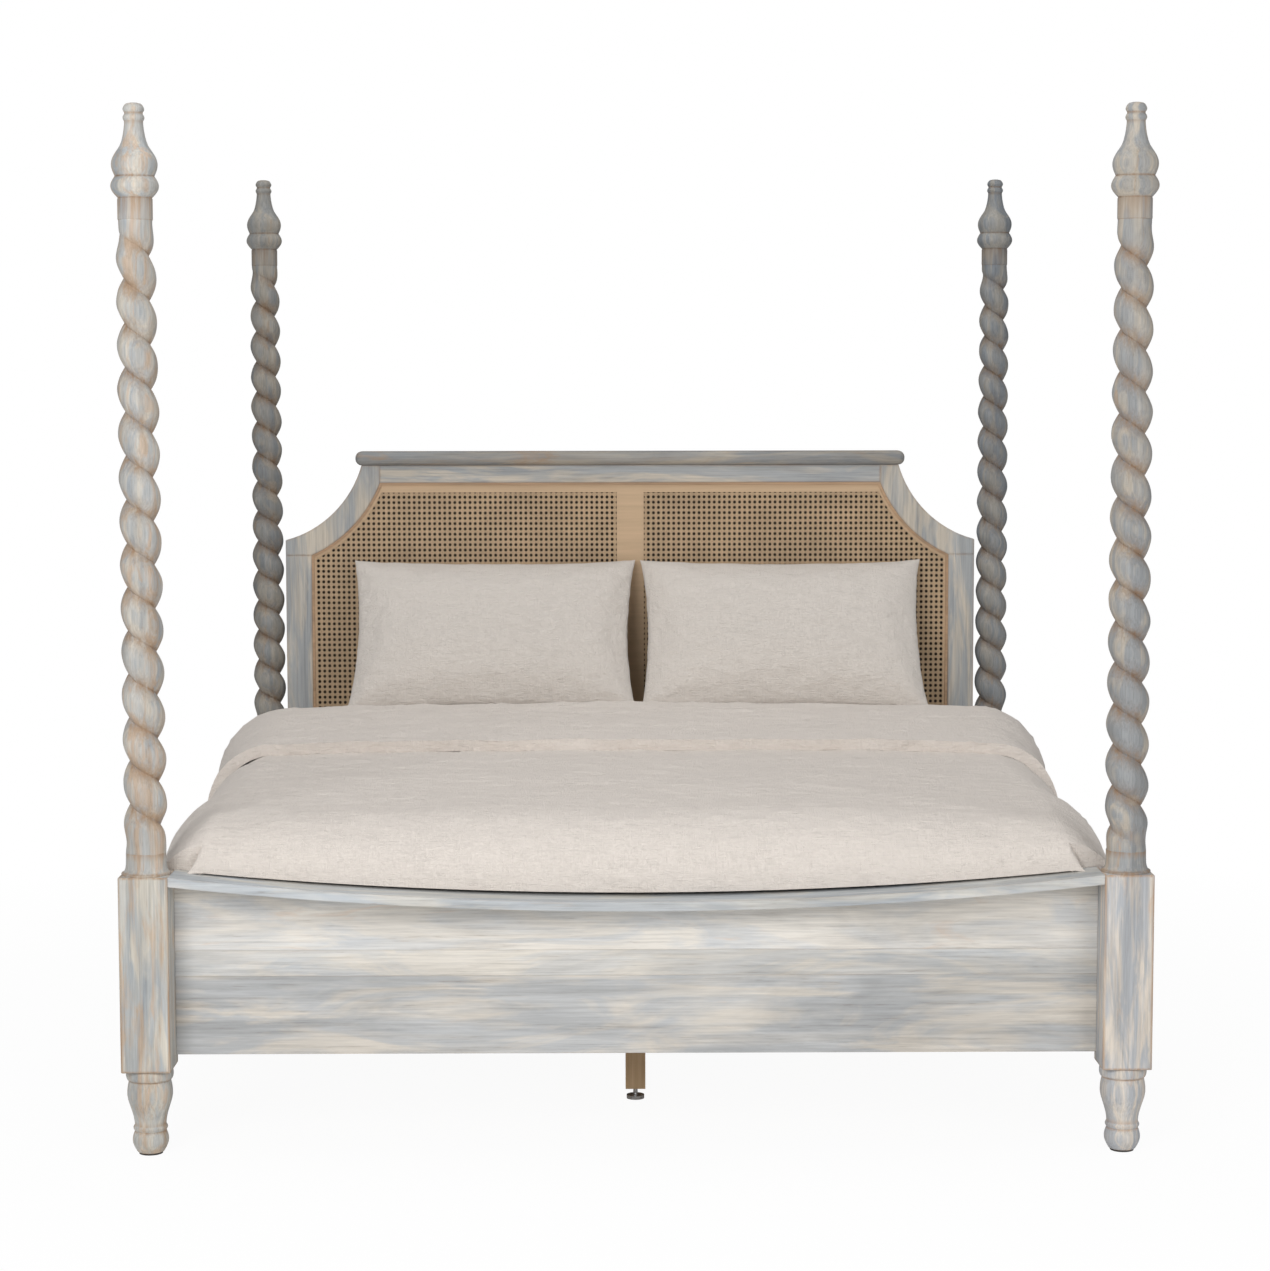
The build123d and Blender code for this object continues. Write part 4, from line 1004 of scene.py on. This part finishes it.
class BED_OT_duvet(bpy.types.Operator):
    """Lay the duvet over the mattress with its top end turned back"""
    bl_idname = "bed.duvet"
    bl_label = "Duvet"

    def execute(self, context):
        cloth = linen(context, "duvet_linen")
        flat = CREASE_Y - CREASE_ROUND
        body = [FOOT_Y + 0.0005 + 0.0385 * (i / 9) ** 2 for i in range(10)]
        body += [WIDE_Y + 0.001 + (FOLD_Y + 0.10 - WIDE_Y) * i / 105 for i in range(106)]
        fold = [FOLD_Y + (flat - FOLD_Y) * i / 46 for i in range(46)]
        fold += [CREASE_Y - CREASE_ROUND * (1 - math.sin(math.pi / 2 * i / 14))
                 for i in range(15)]
        for name, section, places, cover in (
                ("duvet_over_mattress", body_section, body, BODY_COVER),
                ("duvet_turned_back", fold_section, fold, FOLD_COVER)):
            bm = bmesh.new()
            loft_cloth(bm, section, places, settings(context, "linen").crumple)
            if sum(f.normal.z for f in bm.faces) < 0:
                bmesh.ops.reverse_faces(bm, faces=bm.faces[:])
            bm.normal_update()
            bmesh.ops.solidify(bm, geom=bm.faces[:], thickness=cover)
            piece = finish_mesh(name, bm, "duvet_body", cloth, "duvet")
        return {"FINISHED"}


def cushion(width, height, thick, columns, rows):
    """A filled cover with pointed corners and drawn-in sides: two layers joined at the rim."""
    bm = bmesh.new()
    bmesh.ops.create_grid(bm, x_segments=columns, y_segments=rows, size=1)
    for vert in bm.verts:
        u, v = vert.co.x, vert.co.y
        full = ((1 - abs(u) ** 2.6) * (1 - abs(v) ** 2.2)) ** 0.58
        vert.co = (width / 2 * u * (1 - 0.038 * (1 - v * v) * abs(u)),
                   height / 2 * v * (1 - 0.035 * (1 - u * u) * abs(v)), thick / 2 * full)
    copy = bmesh.ops.duplicate(bm, geom=bm.faces[:])["geom"]
    for vert in copy:
        if isinstance(vert, bmesh.types.BMVert):
            vert.co.z *= -1
    bmesh.ops.remove_doubles(bm, verts=bm.verts, dist=1e-5)
    bmesh.ops.recalc_face_normals(bm, faces=bm.faces)
    return mesh_from(bm, "cushion_cover")


SETTLE_FRAMES = 20


def settle(mesh, pressure, most):
    """Blow a cover up as cloth so that it puckers, moving no point further than a limit."""
    blown = add_object("settling_cloth", mesh.copy())
    cloth = blown.modifiers.new("Cloth", "CLOTH")
    cloth.settings.quality = 6
    cloth.settings.use_pressure = True
    cloth.settings.uniform_pressure_force = pressure
    cloth.settings.tension_stiffness = 20
    cloth.settings.compression_stiffness = 20
    cloth.settings.bending_stiffness = 0.3
    cloth.settings.effector_weights.gravity = 0
    cloth.point_cache.frame_end = SETTLE_FRAMES
    for step in range(1, SETTLE_FRAMES + 1):
        bpy.context.scene.frame_set(step)
    shaped = blown.evaluated_get(bpy.context.evaluated_depsgraph_get()).data
    for vert, moved in zip(mesh.vertices, shaped.vertices):
        gone = moved.co - vert.co
        vert.co += gone * (most / (most + gone.length))
    bpy.context.scene.frame_set(1)
    bpy.data.objects.remove(blown)


PILLOW_TINT = (0.896, 0.904, 0.905)
PILLOW_SIZE, PILLOW_LEAN, PILLOW_CRUMPLE = (0.800, 0.500, 0.165), 36, 0.0026


class BED_OT_pillows(bpy.types.Operator):
    """Fill the two pillows and lean them on the headboard"""
    bl_idname = "bed.pillows"
    bl_label = "Pillows"

    def execute(self, context):
        cloth = linen(context, "pillow_linen", PILLOW_TINT)
        width, height, _ = PILLOW_SIZE
        settled = cushion(width, height, 0.150, 90, 58)
        settle(settled, pressure=4.0, most=0.020)
        spans = [[v.co[k] for v in settled.vertices] for k in range(3)]
        scale = Matrix.Diagonal((*[wanted / (max(span) - min(span))
                                   for wanted, span in zip(PILLOW_SIZE, spans)], 1))
        turn = Matrix.Rotation(math.radians(90 - PILLOW_LEAN), 4, "X")
        for name, side in SIDES.items():
            bm = bmesh.new()
            bm.from_mesh(settled)
            mirror = Matrix.Diagonal((-side, 1, 1, 1))
            place = Matrix.Translation(middle_of(f"pillow_{name}"))
            bmesh.ops.transform(bm, matrix=place @ turn @ mirror @ scale, verts=bm.verts)
            bm.normal_update()
            for vert in bm.verts:
                vert.co += vert.normal * crumpled(vert.co * 1.7, PILLOW_CRUMPLE)
            piece = finish_mesh(f"filled_pillow_{name}", bm, f"pillow_{name}_body", cloth,
                                f"pillow_{name}")
            divide = piece.modifiers.new("Subdivision", "SUBSURF")
            divide.levels = divide.render_levels = 1
        return {"FINISHED"}


class BED_OT_mattress(bpy.types.Operator):
    """Build the mattress with its rounded edges"""
    bl_idname = "bed.mattress"
    bl_label = "Mattress"

    def execute(self, context):
        ticking, tree, shader, spot = new_material("mattress_ticking")
        knit = noise_at(tree, spot, 700.0, 2.0, 0.5)
        quilt = add_node(tree, "ShaderNodeTexVoronoi", {"Vector": spot, "Scale": 14.0})
        feed(tree, shader, {
            "Base Color": mix_colour(tree, knit, (0.66, 0.64, 0.60), (0.78, 0.76, 0.72)),
            "Roughness": 0.9})
        bump(tree, shader, weighed(tree, (quilt.outputs["Distance"], 1), (knit, 0.1)), 0.3, 0.004)
        bm = bmesh.new()
        add_box(bm, *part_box("mattress"))
        upright = [e for e in bm.edges if abs(e.verts[0].co.z - e.verts[1].co.z) > 0.1]
        round_edges(bm, upright, 0.09, 8)
        rims = [e for e in sharp_edges(bm) if abs(e.verts[0].co.z - e.verts[1].co.z) < 1e-5]
        round_edges(bm, rims, 0.038, 5)
        piece = finish_mesh("quilted_mattress", bm, "mattress_body", ticking, "mattress")
        return {"FINISHED"}


# Stage
WHITE = (1, 1, 1, 1)
LAMPS = (  # name, place, aim, size and power
    ("key", (-2.0, -5.6, 3.0), (0, -0.4, 0.9), 2.6, 158),
    ("fill", (3.2, -5.0, 2.2), (0, 0, 0.9), 2.6, 62),
    ("top", (0, 0.0, 4.6), (0, 0.2, 0.5), 3.2, 56))


class BED_OT_stage(bpy.types.Operator):
    """Set up the pale floor, the soft light and the camera"""
    bl_idname = "bed.stage"
    bl_label = "Stage"

    def execute(self, context):
        stage = settings(context, "stage")
        scene = context.scene
        bm = bmesh.new()
        bmesh.ops.create_grid(bm, x_segments=1, y_segments=1, size=30)
        mesh = mesh_from(bm, "floor")
        paint, tree, shader, spot = new_material("floor_paint")
        feed(tree, shader, {"Base Color": (*stage.floor, 1), "Roughness": 0.9})
        path = add_node(tree, "ShaderNodeLightPath")
        glow = add_node(tree, "ShaderNodeEmission", {"Color": WHITE, "Strength": 1.0})
        away = add_node(tree, "ShaderNodeVectorMath", {0: spot}, operation="LENGTH")
        whiten = ramp(tree, math_node(tree, "MULTIPLY", away.outputs["Value"], 0.2),
                      [(0.25, 0.95), (0.62, 1.0)])
        seen = math_node(tree, "MULTIPLY", path.outputs["Is Camera Ray"], whiten)
        blend = add_node(tree, "ShaderNodeMixShader", {0: seen, 1: shader.outputs[0],
                                                       2: glow.outputs[0]})
        output = next(n for n in tree.nodes if n.type == "OUTPUT_MATERIAL")
        feed(tree, output, {"Surface": blend.outputs[0]})
        mesh.materials.append(paint)
        add_object("floor", mesh)

        world = bpy.data.worlds.new("studio")
        world.use_nodes = True
        scene.world = world
        tree = world.node_tree
        tree.nodes.clear()
        path = add_node(tree, "ShaderNodeLightPath")
        room = add_node(tree, "ShaderNodeBackground", {"Color": WHITE, "Strength": 0.32})
        white = add_node(tree, "ShaderNodeBackground", {"Color": WHITE, "Strength": 1.0})
        blend = add_node(tree, "ShaderNodeMixShader", {
            0: path.outputs["Is Camera Ray"], 1: room.outputs[0], 2: white.outputs[0]})
        add_node(tree, "ShaderNodeOutputWorld", {"Surface": blend.outputs[0]})

        for name, place, aim, size, power in LAMPS:
            data = bpy.data.lights.new(name, "AREA")
            data.shape = "SQUARE"
            data.size = size
            data.energy = power
            lamp = add_object(name, data)
            lamp.location = place
            lamp.rotation_euler = (Vector(aim) - Vector(place)).to_track_quat("-Z", "Y").to_euler()

        yaw, pitch, roll = stage.camera_turn
        right = Vector((math.cos(yaw), math.sin(yaw), 0))
        forward = Vector((-math.sin(yaw) * math.cos(pitch), math.cos(yaw) * math.cos(pitch),
                          -math.sin(pitch)))
        up = right.cross(forward)
        turned_right = right * math.cos(roll) + up * math.sin(roll)
        turned_up = up * math.cos(roll) - right * math.sin(roll)
        data = bpy.data.cameras.new("camera")
        data.lens = stage.lens
        data.sensor_width = 36
        data.sensor_fit = "HORIZONTAL"
        camera = add_object("camera", data)
        axes = Matrix((turned_right, turned_up, -forward)).transposed().to_4x4()
        camera.matrix_world = Matrix.Translation(stage.camera_place) @ axes
        scene.camera = camera
        scene.view_settings.view_transform = "Standard"
        return {"FINISHED"}


class BED_PT_sidebar(bpy.types.Panel):
    """Lists the steps that build the bed"""
    bl_idname = "BED_PT_sidebar"
    bl_label = "Four-poster bed"
    bl_space_type = "VIEW_3D"
    bl_region_type = "UI"
    bl_category = "Bed"

    def draw(self, context):
        for step in STEPS:
            self.layout.operator(step.bl_idname, text=step.bl_label)
        for name, group in GROUPS.items():
            box = self.layout.box()
            box.label(text=name.capitalize())
            for key in group.__annotations__:
                box.prop(settings(context, name), key)


STEPS = (BED_OT_stage, BED_OT_posts, BED_OT_legs, BED_OT_headboard, BED_OT_cane,
         BED_OT_footboard, BED_OT_base, BED_OT_mattress, BED_OT_duvet, BED_OT_pillows)


def register():
    for name, group in GROUPS.items():
        bpy.utils.register_class(group)
        setattr(bpy.types.Scene, "bed_" + name, bpy.props.PointerProperty(type=group))
    for kind in (*STEPS, BED_PT_sidebar):
        bpy.utils.register_class(kind)


def unregister():
    for kind in (BED_PT_sidebar, *reversed(STEPS)):
        bpy.utils.unregister_class(kind)
    for name, group in reversed(GROUPS.items()):
        delattr(bpy.types.Scene, "bed_" + name)
        bpy.utils.unregister_class(group)


def main():
    register()
    for step in STEPS:
        section, name = step.bl_idname.split(".")
        getattr(getattr(bpy.ops, section), name)()


if __name__ == "__main__":
    main()
